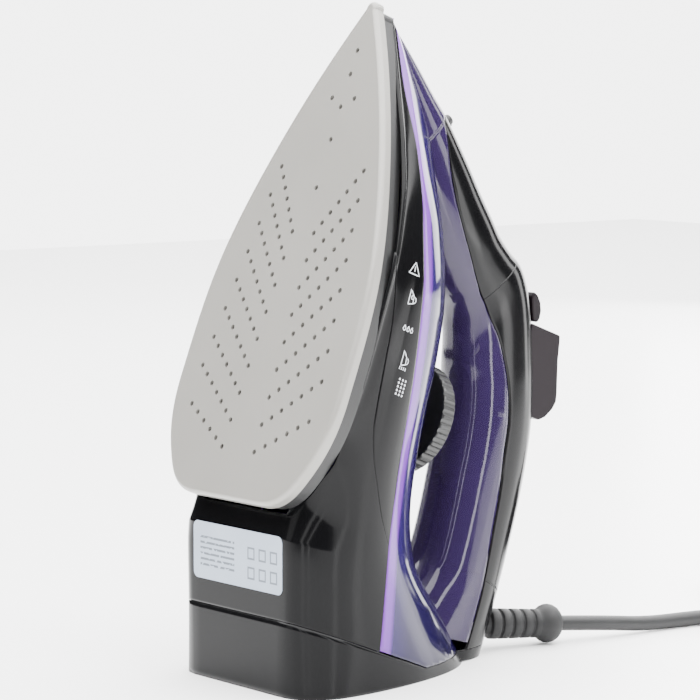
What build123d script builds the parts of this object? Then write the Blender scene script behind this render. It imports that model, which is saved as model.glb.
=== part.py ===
from build123d import *
import os
from math import cos, pi, radians, sin, tan

# Clothes iron standing on its heel.
#
# Every piece is drawn in the iron's own working frame: X runs along the sole from its heel to
# its tip, Y is across, Z goes up from the sole face to the handle.  stand() then turns the
# piece onto the heel, so that the finished part has +Z up, its sole towards -X and its
# handle towards +X, with the middle of its base at the origin.  Millimetres throughout.

# ------------------------------------------------------------------ driving sizes
SOLE_LENGTH = 226.0
SOLE_WIDTH = 115.0
SOLE_THICK = 5.0
HANDLE_HEIGHT = 158.0        # sole face to the back of the handle
LEAN = 21.0                  # the sole leans back by this much when the iron stands
HEEL_DROP = 82.0             # sole's heel edge above the surface the iron stands on
WALL = 2.4                   # moulded shells
FIT = 0.3                    # between curved faces that meet or pass
RUNNING = 0.05               # radial clearance of a shaft in its bore

SHIELD_HEIGHT = 7.0          # matt band between sole and skirt
SHIELD_INSET = 1.6
CASTING_HEIGHT = 11.0        # heater casting on the sole
CASTING_INSET = 9.0
ELEMENT_DIAMETER = 7.0
STEAM_HOLE_DIAMETER = 2.4
CAP_PARTING = 43.5           # heel cap joint, behind the sole's heel
CAP_RIM = 5.4                # the cap's height round the back
HANDLE_HALF = 18.5           # half the handle's width at the grip

BUTTON_TRAVEL = 4.0
BUTTON_HALF = 11.0           # half width of the button pair
BUTTON_SPLIT = 0.3           # half the gap between the two
DIAL_DIAMETER = 50.0
DIAL_THICK = 7.0
SHAFT_DIAMETER = 6.0
PUMP_DIAMETER = 11.0
PUMP_LENGTH = 20.0
PUMP_WALL = 1.2
ROD_DIAMETER = 4.0
FLAP_LENGTH = 26.0
FLAP_WIDTH = 15.0

CORD_DIAMETER = 7.0
CORD_LENGTH = 1900.0
BOOT_DIAMETER = 14.0
BOOT_BULB = 18.0
BOOT_LENGTH = 39.0
BOOT_START = 13.0            # ball centre to the sleeve, across the slot in the heel
BALL_DIAMETER = 17.0
PLUG_PIN_DIAMETER = 4.8
PLUG_PIN_SPACING = 19.0
PLUG_PIN_LENGTH = 19.0
COIL_MEAN_DIAMETER = 84.0
COIL_ACROSS = 3              # turns side by side in the coil
COIL_UP = 2                  # layers

SHIELD_TOP = SOLE_THICK + SHIELD_HEIGHT
FAR = 400.0

COVER_TOP = SOLE_THICK + CASTING_HEIGHT + 2.5
DIAL_CENTRE = (62.0 / 226.0 * SOLE_LENGTH, 0.0)
VALVE = (134.5 / 226.0 * SOLE_LENGTH, -6.0)
DIAL_LOW = 83.2 / 158.0 * HANDLE_HEIGHT
BUTTON_BACK = 81.0 / 226.0 * SOLE_LENGTH
BUTTON_FRONT = 121.0 / 226.0 * SOLE_LENGTH
RISE = HANDLE_HEIGHT / 158.0
BUTTON_LOW = 130.0 * RISE
SELECTOR_X = 129.5 / 226.0 * SOLE_LENGTH
SELECTOR_HALF = 5.5
SELECTOR_TRAVEL = 5.0
FLAP_CENTRE = (151.5 / 226.0 * SOLE_LENGTH, 88.0 * RISE)
FLAP_ANGLE = 131.0           # direction of the front face, from X towards Z
NOZZLE = (188.0 / 226.0 * SOLE_LENGTH, 55.0 * RISE)
NOZZLE_ANGLE = 42.0
NOZZLE_DIAMETER = 7.0
BALL_X = 133.0
BALL_Z = 12.5
BOOT_YAW = -13.0
BOOT_DROP = 4.0
SWIVEL_DOWN = -7.0
SWIVEL_UP = 33.0
PUMP_TOP = BUTTON_LOW - BUTTON_TRAVEL - 3.0
PUMP_LOW = PUMP_TOP - PUMP_LENGTH
LABEL_WIDTH = 64.0
LABEL_HEIGHT = 25.0
LABEL_MID = 56.0             # above the floor
BOOT_REACH = BOOT_START + BOOT_LENGTH - 2.0      # ball centre to the end of the boot
COIL_CENTRE = (280.0, 0.0)
COIL_BASE = 1.6
TAIL_ANGLE = -45.0
TIE_ANGLE = 20.0
TAIL_LENGTH = 42.0
PLUG_DIAMETER = 37.0
PLUG_AXIS = PLUG_DIAMETER / 2 + 0.2
LEAD_ROUTE = [(140.0, -17.0, 3.7), (168.0, -19.0, 3.6), (196.0, -26.0, 3.6), (222.0, -37.0, 3.8),
              (250.0, -47.0, 4.6), (280.0, -49.0, 5.1)]
LEAD_START = 24.0            # straight out of the boot


# ------------------------------------------------------------------ frame
def stand_raw(piece):
    """Turn a piece from the working frame onto the heel, the floor at Z = 0."""
    upright = Plane(
        origin=(0, 0, HEEL_DROP),
        x_dir=(sin(radians(LEAN)), 0, cos(radians(LEAN))),
        z_dir=(cos(radians(LEAN)), 0, -sin(radians(LEAN))),
    )
    return upright.location * piece


def floor_x(height):
    """Where the standing surface meets the working frame, at a height above the sole."""
    return (-HEEL_DROP + height * sin(radians(LEAN))) / cos(radians(LEAN))


def above_floor(lift):
    """Everything more than lift above the standing surface, in the working frame."""
    low = (lift - HEEL_DROP) / cos(radians(LEAN))
    slope = tan(radians(LEAN))
    corners = [(low - FAR * slope, -FAR), (low + FAR * slope, FAR), (FAR, FAR), (FAR, -FAR)]
    return curtain(corners)


def curtain(points, smooth=0):
    """A prism across the iron, from an outline in the X-Z plane.

    The first `smooth` points are joined by one smooth curve, the others by straight lines.
    """
    if smooth:
        edge = Spline(*[(x, 0, z) for x, z in points[:smooth]])
        rest = Polyline(*[(x, 0, z) for x, z in points[smooth - 1:] + points[:1]])
        outline = Wire([edge, *rest.edges()])
    else:
        outline = Polyline(*[(x, 0, z) for x, z in points + points[:1]])
    face = make_face(outline.edges())
    return extrude(face, FAR / 2, dir=(0, 1, 0), both=True)


# ------------------------------------------------------------------ outlines
def sole_outline(level, inset=0.0):
    """The sole's outline: square heel, elliptical corners, ogive sides, round tip."""
    half = SOLE_WIDTH / 2 - inset
    heel = inset
    square = 0.21 * SOLE_WIDTH - 0.4 * inset
    corner = 0.22 * SOLE_LENGTH
    nose = 3.5
    tip = SOLE_LENGTH - 1.9 * inset
    shoulder = (heel + corner, half)
    run = tip - nose - shoulder[0]
    quarter = Spline((heel, square), (heel + 0.28 * corner, 0.815 * half), shoulder,
                     tangents=[(0, 1), (1, 0)])
    side = Spline(shoulder, (shoulder[0] + 0.30 * run, 0.955 * half),
                  (shoulder[0] + 0.62 * run, 0.655 * half), (tip - nose, nose),
                  tangents=[(1, 0), (1, -0.62)])
    left = [quarter, side]
    right = [mirror(edge, Plane.XZ) for edge in left]
    front = ThreePointArc((tip - nose, nose), (tip, 0), (tip - nose, -nose))
    back = Line((heel, -square), (heel, square))
    face = make_face([*left, front, *right, back])
    return Pos(0, 0, level) * face


def hull_section(station, inset):
    """One cross-section of the lower body: flat below, full sides, domed above."""
    x, low, flat, side, side_z, shoulder, shoulder_z, top = station
    low = low + inset
    top = top - inset
    corner = (x, flat - 0.7 * inset, low)
    widest = (x, side - inset, side_z)
    over = (x, shoulder - 0.8 * inset, shoulder_z - 0.5 * inset)
    below = Spline(corner, widest, tangents=[(0, 0.8, 1), (0, 0, 1)])
    above = Spline(widest, over, (x, 0, top), tangents=[(0, 0, 1), (0, -1, 0)])
    left = [below, above]
    right = [mirror(edge, Plane.XZ) for edge in left]
    base = Line((x, -corner[1], low), corner)
    return make_face([base, *left, *right])


def hull_stations():
    """The lower body from behind the heel to the tip.

    Each row: place along the sole, bottom, half width at the bottom, widest half width and
    its height, shoulder half width and its height, top.
    """
    length = SOLE_LENGTH
    half = SOLE_WIDTH / 2
    rise = HANDLE_HEIGHT / 158.0
    low = SHIELD_TOP

    def face_low(x):
        """The heel's front face, upright when the iron stands."""
        return max(low, SOLE_THICK + 2 + (2.7 - x) * tan(radians(LEAN)))

    rows = [
        (-0.43, 0.55, 0.86, 62, 0.73, 104, 159.5), (-0.20, 0.57, 0.86, 52, 0.74, 96, 158.5),
        (-0.09, 0.58, 0.865, 42, 0.75, 80, 126), (0.0, 0.52, 0.87, 34, 0.73, 70, 98),
        (0.11, 0.90, 0.925, 28, 0.75, 62, 84), (0.27, 0.975, 0.95, 26, 0.73, 58, 80),
        (0.45, 0.955, 0.93, 25, 0.69, 55, 76), (0.60, 0.84, 0.81, 24, 0.56, 49, 70),
        (0.73, 0.625, 0.59, 22, 0.36, 42, 60), (0.845, 0.365, 0.335, 20, 0.20, 33, 48),
        (0.92, 0.19, 0.175, 17, 0.115, 22, 31), (0.98, 0.05, 0.045, 12.6, 0.03, 13.2, 14)]
    stations = []
    for x, flat, side, side_z, shoulder, shoulder_z, top in rows:
        stations.append((x * length, face_low(x * length), flat * half, side * half,
                         side_z * rise, shoulder * half, shoulder_z * rise, top * rise))
    return stations


def lower_hull(inset=0.0):
    """The lower body and the heel as one closed form, cut off at the standing surface."""
    stations = hull_stations()
    if inset:
        stations = stations[:-1]
    return loft([hull_section(station, inset) for station in stations], ruled=True)


def rounded(centre, size_a, size_b, radius, plane):
    """A rounded rectangle on a plane through a centre."""
    limit = 0.48 * min(size_a, size_b)
    frame = Plane(origin=centre, x_dir=plane.x_dir, z_dir=plane.z_dir)
    return frame * RectangleRounded(size_a, size_b, min(radius, limit))


def handle_bar(inset=0.0, skip=0):
    """The grip, from the head over the buttons back to the heel; skip leaves out head sections."""
    length = SOLE_LENGTH
    rise = HANDLE_HEIGHT / 158.0
    half = HANDLE_HALF
    rows = [(0.652, 99, 116, 0.62), (0.61, 94, 125.5, 0.83), (0.545, 90, 133.5, 0.93),
            (0.44, 96, 142.5, 0.98), (0.34, 104.5, 149.5, 1.0), (0.19, 109.5, 155, 1.0),
            (0.02, 114, 157, 1.02), (-0.10, 112, 158, 1.05), (-0.20, 106, 158.3, 1.1)]
    sections = []
    for x, low, high, wide in rows[skip:]:
        centre = (x * length, 0, (low + high) / 2 * rise)
        size_z = (high - low) * rise - 2 * inset
        size_y = 2 * wide * half - 2 * inset
        sections.append(rounded(centre, size_y, size_z, max(14 - inset, 2), Plane.YZ))
    if inset and not skip:
        sections[0] = Pos(-inset, 0, 0) * sections[0]
    return loft(sections)


def front_post(inset=0.0):
    """The nose ridge and the post that carries the handle's head."""
    length = SOLE_LENGTH
    rise = HANDLE_HEIGHT / 158.0
    half = HANDLE_HALF
    rows = [(20, 0.80, 0.958, 0.34), (31, 0.76, 0.918, 0.5), (42, 0.70, 0.885, 0.64),
            (62, 0.58, 0.820, 0.82), (81, 0.545, 0.748, 0.88), (98, 0.53, 0.686, 0.84),
            (113, 0.52, 0.652, 0.74)]
    sections = []
    for z, back, front, wide in rows:
        centre = ((back + front) / 2 * length, 0, z * rise)
        size_x = (front - back) * length - 2 * inset
        size_y = 2 * wide * half - 2 * inset
        sections.append(rounded(centre, size_x, size_y, 11 - inset, Plane.XY))
    return loft(sections)


def body_form(inset=0.0):
    """The whole casing as one solid, every face moved in by the inset."""
    form = lower_hull(inset) + handle_bar(inset) + front_post(inset)
    return form & above_floor(inset)


# ------------------------------------------------------------------ seams in the side view
def scaled(points):
    """Side-view points that grow with the sole's length and the handle's height."""
    return [(x / 226.0 * SOLE_LENGTH, z / 158.0 * HANDLE_HEIGHT) for x, z in points]


SKIRT_SEAM = scaled([(232, 13), (200, 15), (165, 21), (135, 25), (108, 31), (78, 38), (37, 47),
                     (0, 57), (-43, 67), (-100, 79)])
SHOULDER_SEAM = scaled([(232, 12), (203, 22), (180, 38), (157, 57), (136, 71), (118, 80),
                        (97, 85), (69, 89), (43, 93), (17, 99), (-2, 108), (-18, 122),
                        (-28, 140), (-34, 170)])
COVER_SEAM = scaled([(226, 34), (200, 44), (180, 50), (163, 59), (150, 68), (137, 79), (127, 89),
                     (118, 99), (107, 110), (93, 118), (67, 127), (48, 132), (20, 136),
                     (-3, 139), (-60, 143)])
REAR_SEAM = scaled([(118, 10), (88, 18), (71, 20), (46, 24), (32, 30), (22, 37), (12, 45),
                    (0, 57)])


def above_seam(seam):
    """The space on the handle's side of a seam."""
    return curtain(seam + [(seam[-1][0], FAR), (FAR, FAR), (FAR, seam[0][1])], len(seam))


def rear_space():
    """The space behind the joint between skirt and heel housing."""
    far_corners = [(REAR_SEAM[-1][0], FAR), (-FAR, FAR), (-FAR, -FAR), (REAR_SEAM[0][0], -FAR)]
    return curtain(REAR_SEAM + far_corners, len(REAR_SEAM))


def cap_space():
    """The space of the heel cap: behind its parting plane, and a low rim round the back."""
    low = CAP_RIM / cos(radians(LEAN))
    turn = (HEEL_DROP - CAP_PARTING * cos(radians(LEAN)) - CAP_RIM) / sin(radians(LEAN))
    end = floor_x(FAR / 2) + low
    return curtain([(-CAP_PARTING, -FAR), (-CAP_PARTING, turn), (end, FAR / 2),
                    (-FAR, FAR / 2), (-FAR, -FAR)])


def prism(face, low, high):
    """A face extruded between two heights above the sole."""
    return Pos(0, 0, low) * extrude(face, high - low)


def rod(centre, diameter, low, high):
    """A round bar along the height direction."""
    return Pos(centre[0], centre[1], low) * extrude(Circle(diameter / 2), high - low)


def tube(centre, outer, inner, low, high):
    """A round tube along the height direction."""
    return rod(centre, outer, low, high) - rod(centre, inner, low, high)


def box(low, high):
    """A block between two corners."""
    size = [b - a for a, b in zip(low, high)]
    return Pos(*low) * Box(*size, align=(Align.MIN, Align.MIN, Align.MIN))


def pipe(points, radii, diameter):
    """A round bar along straight runs joined by tangent arcs."""
    path = FilletPolyline(*points, radius=radii)
    start = Plane(origin=path @ 0, z_dir=path % 0)
    return sweep(start * Circle(diameter / 2), path=path)


def run_radii(points):
    """Arc radius at each inner point: 0.45 of its shorter run, over tan of half the turn."""
    radii = []
    for before, here, after in zip(points, points[1:], points[2:]):
        first = Vector(*here) - Vector(*before)
        second = Vector(*after) - Vector(*here)
        turn = radians(first.get_angle(second))
        radii.append(0.45 * min(first.length, second.length) / tan(turn / 2))
    return radii


# ------------------------------------------------------------------ sole and heater
def steam_holes():
    """Places of the steam holes on the sole: chevron rows, and a group near the tip."""
    places = []
    pitch = 13.25
    for row in range(8):
        for step in range(7):
            part = step / 6
            x = 148.7 - 29.0 * part - pitch * row + 7 * part * row / 7
            y = 29.0 + 13.7 * row / 7 - (21.4 + 10.1 * row / 7) * part
            places.append((x, y))
    for step in range(6):
        part = step / 5
        places.append((38.4 - 16.5 * part, 42.1 - 30.4 * part))
    places.append((181.0, 7.8))
    both = [(x, y) for x, y in places] + [(x, -y) for x, y in places]
    middle = [(203.0, 0), (192.0, 0), (177.0, 0), (162.0, 0), (140.0, 0)]
    return [(x / 226.0 * SOLE_LENGTH, y / 115.0 * SOLE_WIDTH) for x, y in both + middle]


def soleplate():
    """Coated plate with a rounded edge and its steam holes."""
    plate = prism(sole_outline(0), 0, SOLE_THICK)
    rim = plate.edges().group_by(Axis.Z)[0]
    plate = fillet(rim, 2.0)
    drill = extrude(Circle(STEAM_HOLE_DIAMETER / 2), SOLE_THICK + 2)
    holes = [Pos(x, y, -1) * drill for x, y in steam_holes()]
    return plate - holes


def heater_casting():
    """Aluminium casting on the sole, with a steam channel below and a chamber above."""
    top = SOLE_THICK + CASTING_HEIGHT
    block = prism(sole_outline(0, CASTING_INSET), SOLE_THICK, top)
    channel = prism(sole_outline(0, CASTING_INSET + 3), SOLE_THICK, SOLE_THICK + 3)
    channel -= prism(sole_outline(0, 47), SOLE_THICK, SOLE_THICK + 3)
    chamber = prism(sole_outline(0, 36), SOLE_THICK + 5, top)
    return block - channel - chamber - element_run(0)


def element_run(extra):
    """The sheathed element: a U that follows the sole, half sunk in the casting."""
    z = SOLE_THICK + CASTING_HEIGHT
    along = SOLE_LENGTH / 226.0
    wide = SOLE_WIDTH / 115.0
    points = [(20, 26), (64, 37.5), (122, 34), (172, 9), (172, -9), (122, -34), (64, -37.5), (20, -26)]
    path = [(x * along, y * wide, z) for x, y in points]
    return pipe(path, [60, 60, 7, 7, 60, 60], ELEMENT_DIAMETER + extra)


def chamber_gasket():
    """Seal ring under the chamber cover."""
    top = SOLE_THICK + CASTING_HEIGHT
    return prism(sole_outline(0, 33.5), top, top + 1) - prism(sole_outline(0, 36), top, top + 1)


def chamber_cover():
    """Steel plate that closes the steam chamber."""
    top = SOLE_THICK + CASTING_HEIGHT + 1
    plate = prism(sole_outline(0, 33.5), top, top + 1.5)
    return plate - rod(VALVE, 5.0, top, top + 2)


def thermostat_body():
    """Bimetal thermostat on the chamber cover."""
    x, y = DIAL_CENTRE
    block = box((x - 11, y - 8, COVER_TOP), (x + 11, y + 8, COVER_TOP + 7))
    return block + rod(DIAL_CENTRE, 11, COVER_TOP + 7, COVER_TOP + 10)


def thermostat_shaft():
    """Shaft from the thermostat up to the dial."""
    return rod(DIAL_CENTRE, SHAFT_DIAMETER, COVER_TOP + 10 + FIT, DIAL_LOW)


def shaft_tube():
    """Sealed tube that carries the dial's shaft through the tank."""
    return tube(DIAL_CENTRE, SHAFT_DIAMETER + 4, SHAFT_DIAMETER + 2 * RUNNING,
                COVER_TOP + 13, DIAL_LOW - 1.2)


def temperature_dial():
    """Knurled disc under the handle, with a pointer rib."""
    disc = rod(DIAL_CENTRE, DIAL_DIAMETER, DIAL_LOW, DIAL_LOW + DIAL_THICK)
    rims = disc.edges().filter_by(GeomType.CIRCLE)
    disc = fillet(rims, 1.2)
    notch = Pos(DIAL_DIAMETER / 2 + 1.2, 0, -1) * extrude(Circle(1.9), DIAL_THICK + 2)
    teeth = [Pos(*DIAL_CENTRE, DIAL_LOW) * Rot(0, 0, 10 * k) * notch for k in range(36)]
    hub = rod(DIAL_CENTRE, 20, DIAL_LOW + DIAL_THICK, DIAL_LOW + DIAL_THICK + 1.5)
    rib = box((DIAL_CENTRE[0] - 20, -1.5, DIAL_LOW + DIAL_THICK),
              (DIAL_CENTRE[0], 1.5, DIAL_LOW + DIAL_THICK + 1.5))
    return disc - teeth + hub + rib


def thermal_fuse():
    """One-shot fuse in its clip beside the thermostat."""
    x = DIAL_CENTRE[0] - 30
    body = Pos(x, 0, COVER_TOP + 3) * Rot(0, 90, 0) * Cylinder(2.5, 16)
    return body + box((x - 4, -4, COVER_TOP), (x + 4, 4, COVER_TOP + 2))


def element_terminals():
    """Push-on tabs at the element's two ends."""
    along = SOLE_LENGTH / 226.0
    wide = SOLE_WIDTH / 115.0
    z = SOLE_THICK + CASTING_HEIGHT
    tabs = []
    for side in (-1, 1):
        x, y = 20 * along, side * 26 * wide
        tabs.append(box((x - 9, y - 3, z), (x - 3.6, y + 3, z + 0.8)))
    return tabs


# ------------------------------------------------------------------ casing
def base_opening():
    """The space that the heater fills, open through the casing's underside."""
    return prism(sole_outline(0, 7.5), SOLE_THICK, SHIELD_TOP + 12)


def heat_shield():
    """Matt band between sole and skirt."""
    outer = prism(sole_outline(0, SHIELD_INSET), SOLE_THICK, SHIELD_TOP)
    inner = prism(sole_outline(0, 6.5), SOLE_THICK, SHIELD_TOP)
    return outer - inner


def button_plan(extra):
    """Plan of the button pair in the handle's head, as seen from above."""
    back, front = BUTTON_BACK - extra, BUTTON_FRONT + extra
    return Pos((back + front) / 2, 0) * Rectangle(front - back, 2 * (BUTTON_HALF + extra))


def flap_prism(extra):
    """The filler door's outline, carried through the front of the post."""
    frame = Plane(origin=(FLAP_CENTRE[0], 0, FLAP_CENTRE[1]),
                  x_dir=(cos(radians(FLAP_ANGLE)), 0, sin(radians(FLAP_ANGLE))),
                  z_dir=(sin(radians(FLAP_ANGLE)), 0, -cos(radians(FLAP_ANGLE))))
    outline = RectangleRounded(FLAP_LENGTH + 2 * extra, FLAP_WIDTH + 2 * extra, 5 + extra)
    return extrude(frame * outline, 14, both=True)


def nozzle_frame():
    """Frame at the spray nozzle, its normal pointing out over the tip."""
    return Plane(origin=(NOZZLE[0], 0, NOZZLE[1]), x_dir=(0, 1, 0),
                 z_dir=(cos(radians(NOZZLE_ANGLE)), 0, sin(radians(NOZZLE_ANGLE))))


def ball_frame(turn=0.0):
    """Frame at the centre of the cord's ball, its normal along the boot, when standing."""
    yaw = radians(BOOT_YAW + turn)
    drop = radians(BOOT_DROP)
    out = (cos(yaw) * cos(drop), sin(yaw) * cos(drop), -sin(drop))
    return Plane(origin=(BALL_X, 0, BALL_Z), x_dir=(-sin(yaw), cos(yaw), 0), z_dir=out)


def cord_slot():
    """The slot at the back of the heel in which the boot's neck swings, when standing."""
    neck = BOOT_DIAMETER - 4 + 2.4
    reach = BOOT_START * tan(radians((SWIVEL_UP - SWIVEL_DOWN) / 2))
    frame = Plane(origin=(BALL_X, 0, BALL_Z - 0.4), x_dir=(0, 1, 0), z_dir=(1, 0, 0))
    return extrude(frame * SlotOverall(neck + 2 * reach, neck), 40)


def casing():
    """All shells of the casing, as a table from name to solid in the working frame."""
    outer = body_form(0)
    inner = body_form(WALL)
    shell = outer - inner - base_opening()
    cap_zone = cap_space()
    cap = shell & cap_zone
    shell = shell - cap_zone
    over_skirt = above_seam(SKIRT_SEAM)
    over_shoulder = above_seam(SHOULDER_SEAM)
    over_cover = above_seam(COVER_SEAM)
    lower = shell - over_skirt
    behind = rear_space()
    pieces = {}
    pieces["heel_cap"] = cap
    pieces["rear_housing"] = lower & behind
    pieces["skirt"] = lower - behind
    upper = shell & over_skirt
    pieces["water_tank"] = upper - over_shoulder
    grip = upper & over_shoulder
    pieces["handle_shell"] = grip - over_cover
    cover = grip & over_cover
    head = box((BUTTON_FRONT + 4, -FAR / 4, -FAR / 4), (FAR, FAR / 4, 112 * RISE))
    pieces["front_cover"] = cover & head
    pieces["handle_cover"] = cover - head
    floor_band = inner & over_skirt
    raised = above_seam([(x, z + 2.0) for x, z in SKIRT_SEAM])
    pieces["tank_floor"] = floor_band - raised - cap_zone - base_opening()
    return pieces, inner


# ------------------------------------------------------------------ controls
def slab(points, near, far):
    """A side-view outline with straight sides, extruded from one place across to another."""
    outline = Polyline(*[(x, near, z) for x, z in points + points[:1]])
    return extrude(make_face(outline.edges()), far - near, dir=(0, 1, 0))


def button(side):
    """One half of the wedge-shaped button pair; side is +1 or -1."""
    peak = 92.0 / 226.0 * SOLE_LENGTH
    profile = [(BUTTON_BACK, BUTTON_LOW), (BUTTON_BACK, 151 * RISE), (peak, 157.5 * RISE),
               (BUTTON_FRONT, 149 * RISE), (BUTTON_FRONT, BUTTON_LOW)]
    if side > 0:
        return slab(profile, BUTTON_SPLIT, BUTTON_HALF)
    return slab(profile, -BUTTON_HALF, -BUTTON_SPLIT)


def pump_centre(side):
    """Centre of one pump in plan."""
    return ((BUTTON_BACK + BUTTON_FRONT) / 2, side * (PUMP_DIAMETER / 2 + 0.2))


def pump_barrel(side):
    """Pump cylinder, closed below but for its outlet."""
    centre = pump_centre(side)
    bore = PUMP_DIAMETER - 2 * PUMP_WALL
    barrel = rod(centre, PUMP_DIAMETER, PUMP_LOW, PUMP_TOP)
    barrel -= rod(centre, bore, PUMP_LOW + 2, PUMP_TOP)
    return barrel - rod(centre, 2, PUMP_LOW, PUMP_LOW + 2)


def pump_piston(side):
    """Piston with its rod, up to the underside of the button."""
    centre = pump_centre(side)
    bore = PUMP_DIAMETER - 2 * PUMP_WALL
    head_low = PUMP_LOW + 2 + BUTTON_TRAVEL + 2.0
    head = rod(centre, bore - 2 * RUNNING, head_low, head_low + 5)
    return head + rod(centre, ROD_DIAMETER, head_low + 5, BUTTON_LOW)


def pump_spring(side):
    """Return spring round the rod, between the barrel's mouth and the button."""
    wire = 0.7
    coil_radius = (PUMP_DIAMETER - PUMP_WALL) / 2
    low = PUMP_TOP + wire / 2 + 0.02
    height = BUTTON_LOW - PUMP_TOP - wire - 0.04
    path = Helix(pitch=height / 3, height=height, radius=coil_radius)
    start = Plane(origin=path @ 0, z_dir=path % 0)
    coil = sweep(start * Circle(wire / 2), path=path)
    centre = pump_centre(side)
    return Pos(centre[0], centre[1], low) * coil


def selector_low():
    """Height of the cover's outside under the steam selector."""
    return 130.5 * RISE


def steam_selector():
    """Domed slider on the head, on a stem that passes through the cover's slot."""
    low = selector_low()
    profile = [(SELECTOR_X - 6.5, low + 4.2), (SELECTOR_X - 6.5, low + 8.5),
               (SELECTOR_X + 1, low + 7.5), (SELECTOR_X + 5.5, low + 4.5),
               (SELECTOR_X + 6.5, low + 0.4), (SELECTOR_X + 3, low)]
    knob = slab(profile, -SELECTOR_HALF, SELECTOR_HALF)
    stem = rod((SELECTOR_X, 0), 4, low - 14, low + 4)
    return knob + stem


def selector_slot():
    """Slot in the head's cover for the selector's stem."""
    length = 2 * SELECTOR_TRAVEL + 4 + 2 * FIT
    face = Pos(SELECTOR_X, 0) * Rot(0, 0, 90) * SlotOverall(length + 0.4, 4 + 2 * FIT + 0.4)
    return prism(face, selector_low() - 12, selector_low() + 10)


def needle_rod():
    """Drip valve's needle, from the valve seat up into the head."""
    low = COVER_TOP + 12
    body = rod(VALVE, 3.0, low, 102 * RISE)
    tip = Pos(VALVE[0], VALVE[1], low - 2) * Cone(0.5, 1.5, 4)
    return body + tip


def valve_seat():
    """Seal in the tank floor that the needle closes, above the steam chamber."""
    outer = rod(VALVE, 9.0, COVER_TOP, COVER_TOP + 10)
    return outer - rod(VALVE, 3.0 + 2 * RUNNING, COVER_TOP + 6, COVER_TOP + 10) \
        - rod(VALVE, 1.6, COVER_TOP, COVER_TOP + 6)


def spray_nozzle():
    """Nozzle in the nose of the cover, with a pinhole."""
    frame = nozzle_frame()
    stem = extrude(frame * Circle(NOZZLE_DIAMETER / 2 - FIT), 5, both=True)
    cone = extrude(Plane(frame.origin + frame.z_dir * 5, z_dir=frame.z_dir) * Circle(2.4), 1.6)
    hole = extrude(frame * Circle(0.5), 9, both=True)
    return stem + cone - hole


def spray_tube():
    """Flexible tube from the nozzle back to the spray pump."""
    x, y = pump_centre(1)
    start = nozzle_frame().origin - nozzle_frame().z_dir * 5
    elbow = start - nozzle_frame().z_dir * 8
    points = [tuple(start), tuple(elbow), (157 * SOLE_LENGTH / 226, 4, 66 * RISE),
              (136 * SOLE_LENGTH / 226, y + 1, 92 * RISE), (x + 16, y + 0.6, PUMP_LOW + 2.0),
              (x + PUMP_DIAMETER / 2, y, PUMP_LOW + 3.0)]
    return pipe(points, run_radii(points), 3.0)


# ------------------------------------------------------------------ inside the handle and heel
def handle_core():
    """Dark inner duct that carries the wires through the grip."""
    duct = handle_bar(8.0, 3) - handle_bar(9.5, 3)
    ends = box((6.0 / 226 * SOLE_LENGTH, -FAR / 4, 0), (72.0 / 226 * SOLE_LENGTH, FAR / 4, FAR))
    return duct & ends


def pilot_lamp():
    """Small lamp under the clear grip, seated on the duct's floor."""
    x = 40.0 / 226 * SOLE_LENGTH
    return Pos(x, 0, 131 * RISE) * Rot(0, 90, 0) * Cylinder(2.5, 14)


def rating_label():
    """Foil plate on the heel's front face."""
    face = label_frame() * RectangleRounded(LABEL_WIDTH, LABEL_HEIGHT, 3)
    return extrude(face, 0.25)


def heel_face_x():
    """How far the heel's upright front face stands back, in the standing frame."""
    station = hull_stations()[0]
    x, low = station[0], station[1]
    return x * sin(radians(LEAN)) + low * cos(radians(LEAN))


def label_frame():
    """Standing frame of the label, its normal out of the front face."""
    return Plane(origin=(heel_face_x(), 0, LABEL_MID), x_dir=(0, -1, 0), z_dir=(-1, 0, 0))


def cord_boot():
    """Ribbed bend protector with the ball at one end and a bulb at the other."""
    frame = ball_frame()
    radius = BOOT_DIAMETER / 2
    start = BOOT_START
    end = start + BOOT_LENGTH
    ball = frame.origin
    body = Pos(*ball) * Sphere(BALL_DIAMETER / 2)
    body += extrude(frame * Circle(radius - 2.0), start)
    sleeve_start = Plane(frame.origin + frame.z_dir * start, x_dir=frame.x_dir, z_dir=frame.z_dir)
    body += extrude(sleeve_start * Circle(radius), BOOT_LENGTH - 13)
    bulb = Plane(frame.origin + frame.z_dir * (end - 9), x_dir=frame.x_dir, z_dir=frame.z_dir)
    body += bulb.location * Sphere(BOOT_BULB / 2)
    for k in range(4):
        place = start + 4.5 + 5.6 * k
        ring = Plane(frame.origin + frame.z_dir * place, x_dir=frame.x_dir, z_dir=frame.z_dir)
        groove = ring * Circle(radius + 1) - ring * Circle(radius - 1.6)
        body -= extrude(groove, 1.4)
    face = Plane(frame.origin + frame.z_dir * end, x_dir=frame.x_dir, z_dir=frame.z_dir)
    body -= extrude(face * Circle(BOOT_BULB), -2.0)
    return body


def cord_socket():
    """Two-cheek cup round the ball, fixed in the heel."""
    block = Pos(BALL_X, 0, BALL_Z + 1.5) * Box(18, 24, 19)
    block -= Pos(BALL_X, 0, BALL_Z) * Sphere(BALL_DIAMETER / 2 + FIT)
    return block - cord_slot()


# ------------------------------------------------------------------ cord, coil and plug

# route of the lead along the floor, from the boot to the coil, in the finished frame


def cord_tube(points):
    """The lead along its route, and the length of its centre line."""
    radii = run_radii(points)
    print("cord radii", [round(radius) for radius in radii])
    path = FilletPolyline(*points, radius=radii)
    start = Plane(origin=path @ 0, z_dir=path % 0)
    solid = sweep(start * Circle(CORD_DIAMETER / 2), path=path)
    expected = pi * CORD_DIAMETER ** 2 / 4 * path.length
    print("cord volume over section times length", round(solid.volume / expected, 4))
    return solid, path.length


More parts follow.
